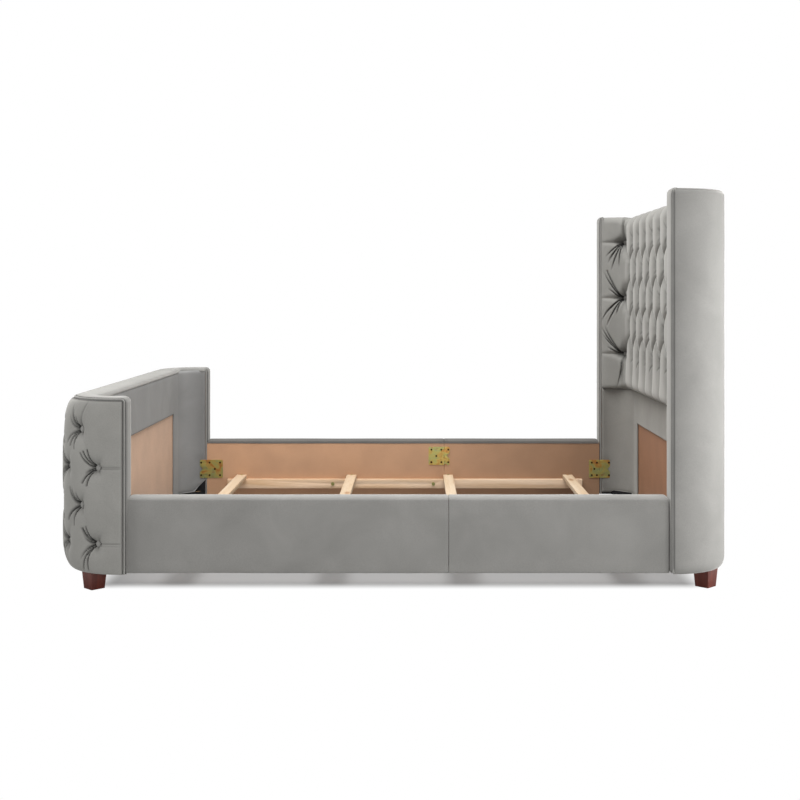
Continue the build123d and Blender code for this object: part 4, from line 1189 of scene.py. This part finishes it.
# One fibreboard in lit and shaded copies: painted lighter in the footboard, painted darker as
# shade in the headboard, and with painted shade growing toward the head on the left rails; the
# plywood is rough and dull, and the planed pine pale and slightly glossy.
fibreboard = pressed_board("pressed_fibreboard", "#B08E72", "#A37C5E")
fibreboard_painted_lighter = pressed_board("pressed_fibreboard_painted_lighter", "#CAAD97", "#BD9B82")
fibreboard_painted_darker = pressed_board("pressed_fibreboard_painted_darker", "#987055", "#8A5D42")
fibreboard_shaded_toward_head = pressed_board("pressed_fibreboard_painted_shade_toward_head", "#B79173", "#AB7F5C", 0.40)
plywood = wood("rough_plywood", "#CBAA80", "#B08A5E", "X", 14, 0.7)
pine_along_x = wood("planed_pine_lengthways", "#E0C6AB", "#CCA984", "X", 9, 0.55, knots_share=0.75)
pine_across = wood("planed_pine_crossways", "#D3C0A6", "#C0A27E", "Y", 9, 0.55, knots_share=0.75)
pine_upright = wood("planed_pine_upright", "#E6CFA9", "#D2AF7C", "Z", 9, 0.6, knots_share=0.7)
# The legs' stain is a dark red-brown that hides most of the grain, under a thin clear lacquer.
leg_stain = wood("stained_lacquered_leg", "#62281A", "#42170E", "Z", 7, 0.5, coat=0.12)


def dress(nodes, material):
    """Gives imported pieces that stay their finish."""
    for node in nodes:
        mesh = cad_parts[node].data
        mesh.materials.clear()
        mesh.materials.append(material)


def eased(node, material, width, segments=2):
    """A copy of a packed wooden or metal piece with its sharp edges broken."""
    bm = merged_copy(node)
    sharp = [e for e in bm.edges if len(e.link_faces) == 2 and e.calc_face_angle() > radians(35)]
    bmesh.ops.bevel(
        bm, geom=sharp, offset=width, segments=segments, affect="EDGES", profile=0.5, material=-1,
        clamp_overlap=True,
    )
    piece = put_in_scene(bm, node + "_eased", material, 30)
    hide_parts(node)


dress(("left_rail_boards",), fibreboard_shaded_toward_head)
dress(("right_rail_boards",), fibreboard)
dress(("footboard_inner_board", "footboard_wing_boards"), fibreboard_painted_lighter)
dress(("headboard_inner_board", "headboard_wing_boards"), fibreboard_painted_darker)
dress(
    ("headboard_bottom_plate", "headboard_wing_ribs", "headboard_back_board",
     "headboard_corner_boards", "footboard_bottom_plate", "footboard_top_plate",
     "footboard_front_board", "footboard_corner_boards"), plywood,
)
dress(("headboard_front_posts", "headboard_back_posts", "footboard_uprights"), pine_upright)
dress(("headboard_cross_rails",), pine_across)
dress(("rail_cores",), pine_along_x)
for node in ("slat_1", "slat_2", "slat_3", "slat_4"):
    eased(node, pine_across, 1.5 * mm)
for node in ("left_ledgers", "right_ledgers"):
    eased(node, pine_along_x, 1.2 * mm)
eased("slat_centre_legs", pine_upright, 1.5 * mm)
for node in ("head_legs", "foot_legs"):
    eased(node, leg_stain, 1.6 * mm, 3)


# Steel plates, hooks, screws and bolts: pressed steel, zinc plated and yellow passivated,
# which leaves thin rainbow stains from gold to green and red.


# Yellow passivated zinc: a half-dull metal with stains about 36 mm wide, in the colours of a
# thin film, and the 2 mm dents of tumbling in the bath.
zinc_plate, tree, place = blank_material("yellow_passivated_zinc")
stain = add(tree, "TexNoise", {"Vector": place, "Scale": 28.0, "Detail": 3.0, "Distortion": 1.0})
ramp = add(tree, "ValToRGB", {0: stain})
steps = ramp.color_ramp.elements
for n, (position, code) in enumerate((
    (0.32, "#A8743E"), (0.72, "#A8693F"), (0.42, "#AE9452"), (0.52, "#A39C5C"), (0.62, "#8E9464"),
)):
    step = steps[n] if n < 2 else steps.new(position)
    step.position, step.color = position, colour(code)
dents = add(tree, "TexNoise", {"Vector": place, "Scale": 500.0, "Detail": 3.0})
finish(tree, {"Base Color": ramp, "Metallic": 0.85, "Roughness": 0.42}, dents, 0.3, 0.15)

# The plates' screws are blackened steel under a film of oil, whose spots, 4 mm wide, shine.
oiled_steel, tree, place = blank_material("dark_oiled_screw_steel")
film = add(tree, "TexNoise", {"Vector": place, "Scale": 260.0, "Detail": 3.0})
tint = add(tree, "Mix", {0: film, 6: colour("#4A3826"), 7: colour("#241B14")}, data_type="RGBA")
dull = add(tree, "MapRange", {"Value": film, **levels(0.0, 1.0, 0.4, 0.65)})
skin = add(tree, "BsdfPrincipled", {
    "Base Color": tint.outputs[2], "Metallic": 1.0, "Roughness": dull,
})
add(tree, "OutputMaterial", {"Surface": skin})

for node in ("hook_plates", "slot_plates"):
    eased(node, zinc_plate, 0.5 * mm, 1)
dress(("slat_screws", "ledger_bolts", "leg_bolts"), zinc_plate)
dress(("plate_screws",), oiled_steel)
